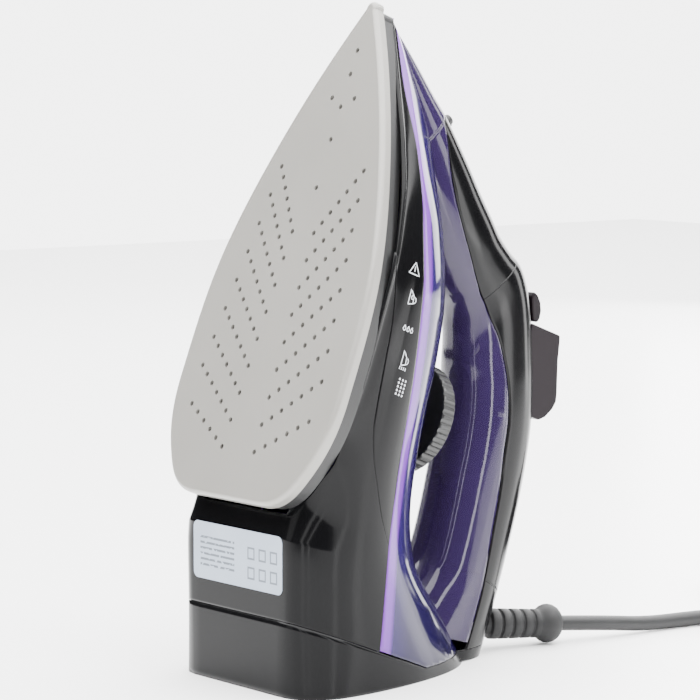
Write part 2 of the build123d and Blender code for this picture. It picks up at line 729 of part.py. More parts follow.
def coil_mould():
    """Outer shape of the wound coil: one ring."""
    wide = COIL_ACROSS * CORD_DIAMETER
    high = COIL_UP * CORD_DIAMETER
    centre = (COIL_MEAN_DIAMETER / 2, 0, COIL_BASE + high / 2)
    section = Plane(origin=centre, x_dir=(1, 0, 0), z_dir=(0, -1, 0))
    ring = revolve(section * RectangleRounded(wide, high, 3.2), Axis.Z)
    return Pos(*COIL_CENTRE, 0) * ring


def coil_tie():
    """Strap round the coil's turns."""
    wide = COIL_ACROSS * CORD_DIAMETER + 1.2
    high = COIL_UP * CORD_DIAMETER + 0.6
    outer = Box(wide + 2.2, 8, high + 2.2)
    hole = Box(wide, 9, high)
    middle = Pos(COIL_MEAN_DIAMETER / 2, 0, COIL_BASE + COIL_UP * CORD_DIAMETER / 2)
    strap = middle * (outer - hole)
    return Pos(*COIL_CENTRE, 0) * Rot(0, 0, TIE_ANGLE) * strap


def tail_frame():
    """Where the plug begins, its normal along the plug."""
    angle = radians(TAIL_ANGLE)
    radius = COIL_MEAN_DIAMETER / 2 + (COIL_ACROSS - 1) / 2 * CORD_DIAMETER
    leave = Vector(COIL_CENTRE[0] + radius * cos(angle), COIL_CENTRE[1] + radius * sin(angle), 0)
    heading = Vector(-sin(angle), cos(angle), 0)
    start = leave + heading * TAIL_LENGTH + Vector(0, 0, PLUG_AXIS)
    return leave, heading, Plane(origin=start, x_dir=(-heading.Y, heading.X, 0), z_dir=heading)


def cord_tail():
    """The short straight stretch from the coil's top to the plug."""
    leave, heading, frame = tail_frame()
    start = Plane(leave + Vector(0, 0, PLUG_AXIS), x_dir=frame.x_dir, z_dir=heading)
    return extrude(start * Circle(CORD_DIAMETER / 2), TAIL_LENGTH)


def plug_body():
    """Moulded two-pin plug with earth notches and a ribbed grip."""
    frame = tail_frame()[2]
    rim = PLUG_DIAMETER / 2
    grip = Plane(frame.origin, x_dir=frame.x_dir, z_dir=frame.z_dir)
    head = Plane(frame.origin + frame.z_dir * 26, x_dir=frame.x_dir, z_dir=frame.z_dir)
    body = loft([grip * Circle(6.5), head * Circle(rim - 4)])
    body += extrude(head * Circle(rim), 14)
    for side in (-1, 1):
        notch = head * Pos(0, side * rim) * Rectangle(7, 6)
        body -= extrude(notch, 14)
    return body


def plug_pins():
    """Two round pins."""
    frame = tail_frame()[2]
    face = Plane(frame.origin + frame.z_dir * 40, x_dir=frame.x_dir, z_dir=frame.z_dir)
    pins = []
    for side in (-1, 1):
        centre = face * Pos(side * PLUG_PIN_SPACING / 2, 0)
        pin = extrude(centre * Circle(PLUG_PIN_DIAMETER / 2), PLUG_PIN_LENGTH)
        pins.append(pin)
    return pins


# ------------------------------------------------------------------ assembly
def working_pieces():
    """Every piece that is drawn in the working frame, by node name."""
    pieces, inner = casing()
    nodes = {}
    nodes["soleplate"] = soleplate()
    nodes["heater_casting"] = heater_casting()
    nodes["heating_element"] = element_run(0)
    nodes["element_terminals"] = element_terminals()
    nodes["chamber_gasket"] = chamber_gasket()
    nodes["chamber_cover"] = chamber_cover()
    nodes["thermostat_body"] = thermostat_body()
    nodes["thermostat_shaft"] = thermostat_shaft()
    nodes["thermal_fuse"] = thermal_fuse()
    nodes["shaft_tube"] = shaft_tube()
    nodes["temperature_dial"] = temperature_dial()
    nodes["heat_shield"] = heat_shield()
    for side, name in ((1, "spray"), (-1, "steam")):
        nodes[name + "_button"] = button(side)
        nodes[name + "_pump_barrel"] = pump_barrel(side)
        nodes[name + "_pump_piston"] = pump_piston(side)
        nodes[name + "_pump_spring"] = pump_spring(side)
    nodes["steam_selector"] = steam_selector()
    nodes["needle_rod"] = needle_rod()
    nodes["valve_seat"] = valve_seat()
    nodes["spray_nozzle"] = spray_nozzle()
    nodes["spray_tube"] = spray_tube()
    nodes["handle_core"] = handle_core()
    nodes["pilot_lamp"] = pilot_lamp()

    tube_hole = rod(DIAL_CENTRE, SHAFT_DIAMETER + 4, COVER_TOP, DIAL_LOW + 1)
    valve_hole = rod(VALVE, 9.0, SHIELD_TOP, COVER_TOP + 10)
    pieces["tank_floor"] = pieces["tank_floor"] - tube_hole - valve_hole
    pieces["water_tank"] = pieces["water_tank"] - tube_hole
    buttons = prism(button_plan(FIT + 0.2), BUTTON_LOW - 12, 170 * RISE)
    pieces["handle_cover"] = pieces["handle_cover"] - buttons - selector_slot()
    door = flap_prism(0) & pieces["front_cover"]
    pieces["front_cover"] = pieces["front_cover"] - flap_prism(0.4)
    nodes["filler_door"] = door
    bore = extrude(nozzle_frame() * Circle(NOZZLE_DIAMETER / 2), 12, both=True)
    for name in ("front_cover", "handle_shell", "water_tank"):
        pieces[name] = pieces[name] - bore
    nodes.update(pieces)
    return nodes, inner


def main():
    os.makedirs("parts", exist_ok=True)
    nodes = {}
    pieces, cavity = working_pieces()
    for name, piece in pieces.items():
        if isinstance(piece, list):
            piece = Compound(children=[solid for part in piece for solid in part.solids()])
        nodes[name] = stand_raw(piece)
    ball_room = Pos(BALL_X, 0, BALL_Z) * Sphere(BALL_DIAMETER / 2 + FIT)
    nodes["handle_cover"] = nodes["handle_cover"] - cord_slot() - ball_room
    nodes["heel_cap"] = nodes["heel_cap"] - ball_room
    nodes["cord_socket"] = cord_socket() & stand_raw(cavity)
    nodes["rating_label"] = rating_label()

    boxes = [node.bounding_box() for node in nodes.values()]
    middle = (min(b.min.X for b in boxes) + max(b.max.X for b in boxes)) / 2
    shift = Pos(-middle, 0, 0)
    print("base centre at x", round(middle, 3))
    nodes["cord_boot"] = cord_boot()
    for name in list(nodes):
        nodes[name] = shift * nodes[name]

    frame = ball_frame()
    leave = frame.origin + frame.z_dir * BOOT_REACH - Vector(middle, 0, 0)
    print("lead starts at", [round(value, 1) for value in tuple(leave)])
    straight = leave + frame.z_dir * LEAD_START
    print("lead's second point", [round(value, 1) for value in tuple(straight)])
    lead, lead_length = cord_tube([tuple(leave), tuple(straight), *LEAD_ROUTE])
    turns = (CORD_LENGTH - lead_length - TAIL_LENGTH) / (pi * COIL_MEAN_DIAMETER)
    print("turns in the coil", round(turns, 2))
    nodes["cord_lead"] = lead
    nodes["cord_tail"] = cord_tail()
    nodes["cord_coil"] = coil_mould()
    nodes["coil_tie"] = coil_tie()
    nodes["plug_body"] = plug_body()
    nodes["plug_pins"] = Compound(children=plug_pins())
    for name, node in nodes.items():
        export_step(node, os.path.join("parts", name + ".step"))
    return nodes


if __name__ == "__main__":
    main()
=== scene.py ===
from math import cos, pi, radians, sin

import bmesh
import bpy
import numpy as np
from bpy.props import FloatProperty, FloatVectorProperty, PointerProperty
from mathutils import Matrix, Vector


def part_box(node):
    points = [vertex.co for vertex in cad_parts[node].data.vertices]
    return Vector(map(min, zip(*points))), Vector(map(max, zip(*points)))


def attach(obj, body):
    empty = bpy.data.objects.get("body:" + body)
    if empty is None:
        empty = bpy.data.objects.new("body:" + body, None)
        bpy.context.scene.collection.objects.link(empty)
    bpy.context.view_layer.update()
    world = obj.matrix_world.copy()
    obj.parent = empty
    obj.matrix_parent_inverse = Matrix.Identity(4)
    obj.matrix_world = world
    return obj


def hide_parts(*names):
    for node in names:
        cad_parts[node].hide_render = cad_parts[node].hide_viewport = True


bl_info = {
    "name": "Steam iron",
    "version": (1, 0, 0),
    "blender": (4, 5, 0),
    "location": "3D View > Sidebar > Steam iron",
    "description": "Finishes and smooth shells of a steam iron standing on its heel",
    "category": "Object",
}

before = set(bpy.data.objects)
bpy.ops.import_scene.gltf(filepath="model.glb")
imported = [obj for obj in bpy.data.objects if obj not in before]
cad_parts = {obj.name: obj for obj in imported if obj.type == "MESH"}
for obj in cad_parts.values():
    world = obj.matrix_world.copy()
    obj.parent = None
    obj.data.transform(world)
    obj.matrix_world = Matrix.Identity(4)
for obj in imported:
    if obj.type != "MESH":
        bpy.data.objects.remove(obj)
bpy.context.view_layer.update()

# ---- working frame
# The iron's shells are worked out in its ironing frame, in millimetres: u along the sole from
# its heel to its tip, v across, w up from the sole face.  place() turns them onto the heel.
LEAN = radians(21.0)
HEEL_DROP = 82.0
SOLE_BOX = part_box("soleplate")
SOLE_EDGE = 2.0             # the sole's rounded edge
MIDDLE = SOLE_EDGE * (sin(LEAN) + cos(LEAN) - 1) - SOLE_BOX[0][0] * 1000.0


def place(u, v, w):
    """Turn working coordinates in millimetres into points of the frame in metres."""
    x = u * sin(LEAN) + w * cos(LEAN) - MIDDLE
    z = u * cos(LEAN) - w * sin(LEAN) + HEEL_DROP
    return np.stack([x, -v + 0 * x, z], -1) * 0.001


# ---- numbers along the iron
def curve_through(x, xs, ys):
    """Smooth monotone curve through points: cubic pieces whose slopes never overshoot."""
    xs, ys = np.asarray(xs, float), np.asarray(ys, float)
    step = np.diff(xs)
    slope = np.diff(ys) / step
    tangent = np.zeros_like(xs)
    tangent[0], tangent[-1] = slope[0], slope[-1]
    left, right = slope[:-1], slope[1:]
    same = left * right > 0
    weight_a = 2 * step[1:] + step[:-1]
    weight_b = step[1:] + 2 * step[:-1]
    with np.errstate(divide="ignore", invalid="ignore"):
        mean = (weight_a + weight_b) / (weight_a / left + weight_b / right)
    tangent[1:-1] = np.where(same, mean, 0.0)
    x = np.clip(x, xs[0], xs[-1])
    k = np.clip(np.searchsorted(xs, x) - 1, 0, len(xs) - 2)
    t = (x - xs[k]) / step[k]
    a = (1 + 2 * t) * (1 - t) ** 2
    b = t * (1 - t) ** 2
    c = t * t * (3 - 2 * t)
    d = t * t * (t - 1)
    return a * ys[k] + b * step[k] * tangent[k] + c * ys[k + 1] + d * step[k] * tangent[k + 1]


# Lower body by place along the sole (from behind the heel to the tip): half width at the
# bottom, widest half width and its height, shoulder half width and its height, top.
HULL = np.array([
    (-97, 31.6, 49.0, 62, 42.0, 104, 159.0), (-45, 32.8, 49.2, 52, 42.5, 96, 158.4),
    (-20, 33.3, 49.5, 42, 41.0, 84, 132), (0, 30.0, 50.0, 36, 40.0, 72, 101),
    (25, 51.5, 53.0, 28, 42.0, 62, 86), (61, 56.0, 54.6, 26, 42.0, 58, 80),
    (102, 54.9, 53.4, 25, 39.6, 55, 76), (136, 48.3, 46.5, 24, 32.0, 49, 70),
    (165, 35.9, 34.0, 22, 20.5, 42, 60), (191, 21.0, 19.2, 20, 11.4, 33, 47.5),
    (208, 10.9, 10.0, 17, 6.5, 22, 31), (221.5, 2.9, 2.6, 12.6, 1.7, 13.2, 14)])
TIP_START = 217.0
TIP_ROUND = 6.0
UNDERSIDE = 12.0            # flat underside of the lower body
HEEL_END = -97.0            # where its sections start, behind the heel
FACE_U, FACE_W = 2.7, 7.0   # a point on the upright face of the heel


def hull_numbers(u):
    """The six numbers of the lower body's cross-section at each place along the sole."""
    return [curve_through(u, HULL[:, 0], HULL[:, k]) for k in range(1, 7)]


def hull_low(u):
    """Underside: flat ahead of the heel, and upright behind it when the iron stands."""
    return np.maximum(UNDERSIDE, FACE_W + (FACE_U - u) * np.tan(LEAN))


def hull_power(side, side_w, over, over_w, top):
    """Power p for which |v/side|^p + |q|^p = 1 passes through the shoulder point."""
    a = over / side
    b = (over_w - side_w) / (top - side_w)
    low, high = np.full_like(a, 1.05), np.full_like(a, 9.0)
    for _ in range(40):
        middle = (low + high) / 2
        outside = a ** middle + b ** middle > 1
        low, high = np.where(outside, middle, low), np.where(outside, high, middle)
    return (low + high) / 2


def hull_half(u, w):
    """Half width of the lower body at a place and height.

    Below the widest height it is a quarter ellipse from the flat underside; above it,
    |v / side|^p + |q|^p = 1 with q running from 0 at the widest height to 1 at the top.
    """
    flat, side, side_w, over, over_w, top = hull_numbers(u)
    low = hull_low(u)
    rise = np.clip((w - low) / np.maximum(side_w - low, 0.1), 0, 1)
    below = flat + (side - flat) * np.sqrt(np.clip(1 - (1 - rise) ** 2, 0, 1))
    power = hull_power(side, side_w, over, over_w, top)
    q = np.clip((w - side_w) / (top - side_w), 0, 1)
    above = side * np.clip(1 - q ** power, 0, 1) ** (1 / power)
    tip = np.sqrt(np.clip(1 - ((np.maximum(u, TIP_START) - TIP_START) / TIP_ROUND) ** 2, 0, 1))
    return np.where(w < side_w, below, above) * tip


def side_line(points):
    """A side-view line as a function from place along the sole to height."""
    points = sorted(points)
    us = [point[0] for point in points]
    ws = [point[1] for point in points]
    return lambda u: curve_through(u, us, ws)


skirt_seam = side_line([(232, 13), (200, 15), (165, 21), (135, 25), (108, 31), (78, 38),
                        (37, 47), (0, 57), (-43, 67), (-100, 79)])
shoulder_seam = side_line([(232, 12), (203, 22), (180, 38), (157, 57), (136, 71), (118, 80),
                           (97, 85), (69, 89), (43, 93), (17, 99), (-2, 108), (-18, 122),
                           (-28, 140), (-34, 170)])

# Upper body as rungs from the outside line (nose ridge, head, back of the handle) to the inside
# line (front post, underside of the grip, heel): outside u, w; inside u, w; half width; and how
# far down each rung the black cover reaches.
RUNGS = np.array([
    (221, 13, 218.5, 12.4, 1.5, 0), (214, 22.5, 205, 15, 6, 0), (207, 32.5, 191, 20, 9, 0),
    (200, 42, 177, 28, 11.5, 0), (193, 52.5, 164, 36, 13.5, 0.22), (185, 62.3, 152, 45, 15.2, 0.42),
    (177, 71.8, 141, 55, 16.3, 0.54), (169, 81, 131, 66, 16.8, 0.61), (161, 91, 124, 76, 16.8, 0.68),
    (154, 100, 119, 83, 16.4, 0.73), (149, 109, 115.5, 88.5, 16, 0.77),
    (145, 118, 111, 92, 15.6, 0.76), (137, 125.4, 105, 94.5, 15.6, 0.72),
    (126, 131.5, 98.5, 97, 16, 0.65), (112, 137.5, 91, 99.5, 16.7, 0.59),
    (97, 143.3, 82, 103, 17.5, 0.55), (80, 148.8, 70, 106, 18.2, 0.53),
    (62, 152.4, 57, 108.2, 18.5, 0.53), (44, 154.8, 43, 109.8, 18.5, 0.49),
    (26, 156.2, 28, 111.5, 18.5, 0.47), (8, 157, 14, 112.5, 18.7, 0.44),
    (-7, 157.4, 2, 112, 19, 0.41), (-17, 157.7, -12, 107, 19.5, 0.37),
    (-23, 157.9, -28, 100, 20, 0.33), (-29, 158.1, -46, 92, 20.5, 0.3)])
ROUNDNESS = 2.35


def along_rungs(s):
    """Numbers of the upper body between its rungs: a Catmull-Rom curve through each column."""
    s = np.clip(s, 0, len(RUNGS) - 1.000001)
    k = s.astype(int)
    t = (s - k)[:, None]
    rows = np.vstack([2 * RUNGS[0] - RUNGS[1], RUNGS, 2 * RUNGS[-1] - RUNGS[-2]])
    a, b, c, d = rows[k], rows[k + 1], rows[k + 2], rows[k + 3]
    return 0.5 * (2 * b + (c - a) * t + (2 * a - 5 * b + 4 * c - d) * t ** 2
                  + (3 * b - a - 3 * c + d) * t ** 3)


def seam_angle(reach):
    """Angle round a rung's superellipse at which it has come this far from the outside line."""
    x = 1 - 2 * np.clip(reach, 0, 1)
    return np.arccos(np.sign(x) * np.abs(x) ** (ROUNDNESS / 2))


def upper_point(s, angle):
    """A point of the upper body: rung position s, angle from the outside line.

    Across a rung the section is a superellipse; its depth is the rung's length and its
    half width the rung's own.
    """
    row = along_rungs(np.ravel(s))
    angle = np.ravel(angle)
    middle = (row[:, 0:2] + row[:, 2:4]) / 2
    span = (row[:, 0:2] - row[:, 2:4]) / 2
    half = np.maximum(row[:, 4], 0.1)
    power = 2 / ROUNDNESS
    x = np.sign(np.cos(angle)) * np.abs(np.cos(angle)) ** power
    y = np.sign(np.sin(angle)) * np.abs(np.sin(angle)) ** power
    u = middle[:, 0] + span[:, 0] * x
    w = middle[:, 1] + span[:, 1] * x
    return u, half * y, w


# ---- meshes
def linked(name, data):
    """A new object in the scene."""
    obj = bpy.data.objects.new(name, data)
    bpy.context.scene.collection.objects.link(obj)
    return obj


def mesh_object(name, points, faces, smooth=True):
    """A mesh object from an array of points and an array of quads."""
    mesh = bpy.data.meshes.new(name)
    mesh.from_pydata(np.asarray(points).reshape(-1, 3).tolist(), [], np.asarray(faces).tolist())
    mesh.update()
    mesh.polygons.foreach_set("use_smooth", np.full(len(mesh.polygons), smooth))
    return linked(name, mesh)


def grid_faces(rows, columns, wrap=False, flip=False):
    """Quads of a grid of rows by columns; wrap joins its last column to its first."""
    last = columns if wrap else columns - 1
    r, c = np.meshgrid(np.arange(rows - 1), np.arange(last), indexing="ij")
    r, c = r.ravel(), c.ravel()
    right = (c + 1) % columns
    quads = np.stack([r * columns + c, r * columns + right, (r + 1) * columns + right,
                      (r + 1) * columns + c], -1)
    return quads[:, ::-1] if flip else quads


def tidy_mesh(obj, merge=0.00002):
    """Merge doubles, drop loose points and point the faces outwards."""
    work = bmesh.new()
    work.from_mesh(obj.data)
    bmesh.ops.remove_doubles(work, verts=work.verts, dist=merge)
    bmesh.ops.dissolve_degenerate(work, edges=work.edges, dist=merge / 4)
    loose = [vert for vert in work.verts if not vert.link_faces]
    bmesh.ops.delete(work, geom=loose, context="VERTS")
    bmesh.ops.recalc_face_normals(work, faces=work.faces)
    work.to_mesh(obj.data)
    work.free()
    obj.data.polygons.foreach_set("use_smooth", np.full(len(obj.data.polygons), True))
    return obj


def cut_level(work, height, keep_above=True, fill=False):
    """Cut a bmesh by a level plane, drop one side and optionally close the cut."""
    normal = (0, 0, 1) if keep_above else (0, 0, -1)
    geometry = work.verts[:] + work.edges[:] + work.faces[:]
    cut = bmesh.ops.bisect_plane(work, geom=geometry, dist=1e-7, plane_co=(0, 0, height),
                                 plane_no=normal, clear_inner=True)
    if fill:
        edges = [item for item in cut["geom_cut"] if isinstance(item, bmesh.types.BMEdge)]
        bmesh.ops.edgenet_fill(work, edges=edges)


def shell(obj, thickness, outward=None, above=None):
    """Give an open surface its wall, inwards; above cuts it off at that height in millimetres."""
    tidy_mesh(obj)
    if above is not None:
        work = bmesh.new()
        work.from_mesh(obj.data)
        cut_level(work, above * 0.001)
        work.to_mesh(obj.data)
        work.free()
    if outward is not None:
        point_away(obj, outward)
    wall = obj.modifiers.new("wall", "SOLIDIFY")
    wall.thickness = thickness * 0.001
    wall.offset = -1
    wall.use_even_offset = False
    wall.use_quality_normals = True
    return obj


def point_away(obj, centre):
    """Flip an open surface if most of its faces look at the centre."""
    centre = Vector(centre)
    score = sum((face.center - centre).dot(face.normal) * face.area for face in obj.data.polygons)
    if score < 0:
        obj.data.flip_normals()


def joined(name, parts):
    """One object from several grids of points and faces."""
    points, faces, count = [], [], 0
    for some_points, some_faces in parts:
        some_points = np.asarray(some_points).reshape(-1, 3)
        points.append(some_points)
        faces.append(np.asarray(some_faces) + count)
        count += len(some_points)
    return mesh_object(name, np.vstack(points), np.vstack(faces))


def side_sheet(u_values, low_line, high_line, rows=40, crowd=0.0):
    """Both sides of the lower body between two side-view lines, as grids of points.

    Rows run between the lines; crowd bunches them towards the high line with a sine, where
    the body's top curves over.
    """
    part = np.linspace(0, 1, rows)
    part = (1 - crowd) * part + crowd * np.sin(part * pi / 2)
    u = np.repeat(u_values[:, None], rows, 1)
    low, high = low_line(u_values)[:, None], high_line(u_values)[:, None]
    w = low + (high - low) * part[None, :]
    v = hull_half(u, w)
    return u, v, w


def two_sides(u, v, w):
    """Grids of points and faces for a side and its mirror image."""
    rows, columns = u.shape
    return [(place(u, v, w), grid_faces(rows, columns)),
            (place(u, -v, w), grid_faces(rows, columns, flip=True))]


# ---- shader building
class Wire:
    """A socket that can be used in sums: each operator adds one Math node."""

    def __init__(self, maker, socket):
        self.maker, self.socket = maker, socket

    def _math(self, operation, a, b):
        return self.maker.node("ShaderNodeMath", {"operation": operation}, {0: a, 1: b})

    def __add__(self, other):
        return self._math("ADD", self, other)

    def __radd__(self, other):
        return self._math("ADD", other, self)

    def __sub__(self, other):
        return self._math("SUBTRACT", self, other)

    def __mul__(self, other):
        return self._math("MULTIPLY", self, other)

    def __rmul__(self, other):
        return self._math("MULTIPLY", other, self)

    def __truediv__(self, other):
        return self._math("DIVIDE", self, other)

    def fract(self):
        """What is left of the value after its whole part."""
        return self.maker.node("ShaderNodeMath", {"operation": "FRACT"}, {0: self})

    def __lt__(self, other):
        return self._math("LESS_THAN", self, other)

    def __gt__(self, other):
        return self._math("GREATER_THAN", self, other)


class Finish:
    """One material: a Principled shader, and nodes added by name."""

    def __init__(self, name, **uniform):
        self.material = bpy.data.materials.new(name)
        self.material.use_nodes = True
        self.tree = self.material.node_tree
        self.shader = self.tree.nodes["Principled BSDF"]
        for socket, value in uniform.items():
            self.shader.inputs[socket.replace("_", " ")].default_value = value

    def node(self, kind, settings, inputs, output=0):
        """Any node: its settings are set first, then its sockets' values or links."""
        made = self.tree.nodes.new(kind)
        for key, value in settings.items():
            if key == "stops":
                ramp = made.color_ramp
                while len(ramp.elements) < len(value):
                    ramp.elements.new(0.5)
                for element, (position, colour) in zip(ramp.elements, value):
                    element.position, element.color = position, colour
            else:
                setattr(made, key, value)
        for key, value in inputs.items():
            if isinstance(value, Wire):
                self.tree.links.new(value.socket, made.inputs[key])
            else:
                made.inputs[key].default_value = value
        return Wire(self, made.outputs[output])

    def place(self, scale=(1, 1, 1)):
        """Object coordinates, scaled."""
        coords = self.node("ShaderNodeTexCoord", {}, {}, "Object")
        return self.node("ShaderNodeMapping", {}, {"Vector": coords, "Scale": scale})

    def noise(self, scale, detail=3.0, rough=0.5, at=None):
        """Fractal noise between 0 and 1."""
        at = at or self.place()
        return self.node("ShaderNodeTexNoise", {}, {"Vector": at, "Scale": scale, "Detail": detail,
                                                    "Roughness": rough}, "Fac")

    def mix(self, factor, first, second):
        """A colour between two colours."""
        return self.node("ShaderNodeMix", {"data_type": "RGBA"}, {0: factor, 6: first, 7: second}, 2)

    def feed(self, socket, wire):
        """Link a value to the shader."""
        self.tree.links.new(wire.socket, self.shader.inputs[socket])
        return self

    def bump(self, height, strength, distance):
        """Raise the surface by a height value."""
        normal = self.node("ShaderNodeBump", {}, {"Height": height, "Strength": strength,
                                                  "Distance": distance})
        return self.feed("Normal", normal)


def rgb(hex_text):
    """A linear colour from a hex colour."""
    parts = [int(hex_text[k:k + 2], 16) / 255 for k in (0, 2, 4)]
    return (*[c / 12.92 if c < 0.04045 else ((c + 0.055) / 1.055) ** 2.4 for c in parts], 1)


def lifted(base, gain, lift):
    """A colour with each channel multiplied and raised, as far as full brightness."""
    return (*[min(1, c * gain + lift) for c in base[:3]], 1)


def gloss_plastic(name, colour, rough=0.12, coat=0.0, shine=0.13):
    """High-gloss moulded plastic: a clear top, faint orange peel and fine dust."""
    finish = Finish(name, Roughness=rough, Coat_Weight=coat, Coat_Roughness=0.04, IOR=1.45,
                    Specular_IOR_Level=shine)
    dust = finish.noise(900.0, 2.0)
    cloud = finish.noise(9.0, 3.0)
    base = rgb(colour)
    finish.feed("Base Color", finish.mix(cloud, base, lifted(base, 1.25, 0.004)))
    finish.feed("Roughness", rough + 0.05 * cloud + 0.03 * dust)
    finish.bump(finish.noise(160.0, 2.0), 0.02, 0.0004)
    return finish


def matte_plastic(name, colour, rough=0.5, grain=0.25):
    """Spark-eroded moulded plastic with a fine grain."""
    finish = Finish(name, Roughness=rough)
    grains = finish.noise(1400.0, 3.0, 0.6)
    cloud = finish.noise(25.0, 4.0)
    base = rgb(colour)
    finish.feed("Base Color", finish.mix(cloud, base, lifted(base, 1.5, 0.006)))
    finish.feed("Roughness", rough - 0.08 + 0.16 * cloud)
    finish.bump(grains, grain, 0.0003)
    return finish


def tinted_plastic(name, colour, deep, alpha):
    """Clear tinted plastic: see-through and glossy, clouded between two linear colours."""
    finish = Finish(name, Roughness=0.06, IOR=1.46, Alpha=alpha, Specular_IOR_Level=0.4)
    cloud = finish.noise(14.0, 2.0)
    finish.feed("Base Color", finish.mix(cloud, colour, deep))
    finish.feed("Roughness", 0.06 + 0.04 * cloud)
    finish.bump(finish.noise(40.0, 1.0), 0.02, 0.0004)
    return finish


def ceramic_sole(name):
    """Satin ceramic coat on the sole: warm grey, finely speckled, softly uneven gloss."""
    finish = Finish(name, Roughness=0.34, Metallic=0.25, Coat_Weight=0.15, Coat_Roughness=0.25)
    speck = finish.noise(2600.0, 2.0, 0.7)
    cloud = finish.noise(12.0, 4.0, 0.6)
    tone = finish.mix(cloud, rgb("7d7b76"), rgb("868480"))
    dark = (speck < 0.36) * 0.10
    finish.feed("Base Color", finish.mix(dark, tone, rgb("5b5955")))
    finish.feed("Roughness", 0.30 + 0.08 * cloud + 0.05 * speck)
    finish.bump(speck, 0.06, 0.0002)
    return finish


def metal(name, colour, rough=0.35, streak=(1, 1, 1)):
    """Bare metal with fine uneven gloss."""
    finish = Finish(name, Metallic=1.0, Roughness=rough)
    lines = finish.noise(700.0, 3.0, 0.5, finish.place(streak))
    base = rgb(colour)
    finish.feed("Base Color", finish.mix(lines, base, lifted(base, 0.75, 0.0)))
    finish.feed("Roughness", rough - 0.06 + 0.14 * lines)
    finish.bump(lines, 0.08, 0.0002)
    return finish


def rubber(name, colour, rough=0.62):
    """Matt rubber with bloom and a fine skin."""
    finish = Finish(name, Roughness=rough, Specular_IOR_Level=0.35)
    cloud = finish.noise(60.0, 4.0, 0.6)
    skin = finish.noise(1800.0, 2.0)
    base = rgb(colour)
    finish.feed("Base Color", finish.mix(cloud, base, lifted(base, 1.7, 0.008)))
    finish.feed("Roughness", rough - 0.07 + 0.14 * cloud)
    finish.bump(skin, 0.18, 0.0002)
    return finish


def paint(obj, finish):
    """Give an object its finish in every material slot."""
    material = finish.material
    if not obj.material_slots:
        obj.data.materials.append(material)
    for slot in obj.material_slots:
        slot.material = material


def standing(x, z):
    """Working coordinates u, w of a point given by its place along the floor and its height."""
    rise = z - HEEL_DROP
    return x * sin(LEAN) + rise * cos(LEAN), x * cos(LEAN) - rise * sin(LEAN)


def finished(obj, body, finish, slot_name, *nodes):
    """Paint a piece, hide the CAD nodes it stands for, and let it ride on its body."""
    paint(obj, finish)
    if nodes:
        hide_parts(*nodes)
    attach(obj, body)
    return obj


# ---- lower body
GAP = 0.15                  # half the width of a joint line
WALL = 2.2                  # thickness of the moulded shells
BODY_CENTRE = (0, 0, 0.15)  # a point inside the lower body, in metres
PARTING = -43.5             # the heel cap's joint
CAP_RIM = 5.4
REAR_END = 118.0
rear_line = side_line([(118, 10), (88, 18), (71, 20), (46, 24), (32, 30), (22, 37), (12, 45), (0, 57)])


def skirt_low(u):
    """Lower edge of the skirt: the rear housing's joint line, then the heat shield."""
    return np.where(u < REAR_END, np.maximum(rear_line(u) + GAP, UNDERSIDE), UNDERSIDE)


def skirt_piece():
    """Skirt: both sides of the lower body between its lower edge and the skirt's joint line."""
    def high(x):
        return np.maximum(skirt_seam(x) - GAP, skirt_low(x) + 0.2)

    u = 223.0 - 222.4 * (1 - np.sin(np.linspace(0, 1, 170) * pi / 2)) ** 0.9
    sheet = side_sheet(u, skirt_low, high, 26)
    return shell(joined("skirt_shell", two_sides(*sheet)), WALL, BODY_CENTRE)


def tank_piece():
    """Water tank: from the skirt's joint line to the shoulder's, or closed over its deck."""
    def low(x):
        return skirt_seam(x) + GAP

    def high(x):
        under = np.minimum(shoulder_seam(x) - GAP, hull_numbers(x)[5] - 0.001)
        return np.maximum(under, low(x) + 0.2)

    u = 222.8 - 265.8 * (1 - np.sin(np.linspace(0, 1, 200) * pi / 2)) ** 0.9
    u_grid, v, w = side_sheet(u, low, high, 54, 0.9)
    obj = joined("tank_shell", two_sides(u_grid, v, w))
    rise = np.linspace(0, 1, 54)[None, :] + 0 * u_grid
    # UV x is the height above the skirt's joint, which places the tank's painted highlight band.
    layer = obj.data.uv_layers.new(name="UVMap")
    corners = np.empty(len(obj.data.loops), dtype=np.int32)
    obj.data.loops.foreach_get("vertex_index", corners)
    above = (w - skirt_seam(u_grid)) / 100
    uv = np.stack([np.tile(above.ravel(), 2), np.tile(rise.ravel(), 2)], -1)
    layer.data.foreach_set("uv", uv[corners].astype(np.float32).ravel())
    return shell(obj, WALL, BODY_CENTRE, CAP_RIM + GAP)


def shoulder_grids():
    """The handle shell's share of the lower body, from the shoulder's joint line over the top."""
    def low(x):
        return shoulder_seam(x) + GAP

    def high(x):
        return np.maximum(hull_numbers(x)[5] - 0.001, low(x) + 0.05)

    parts = []
    for start, end in ((138.0, 216.0), (-43.2, -8.0)):
        u = np.linspace(start, end, 90)
        parts += two_sides(*side_sheet(u, low, high, 30, 0.9))
    return parts


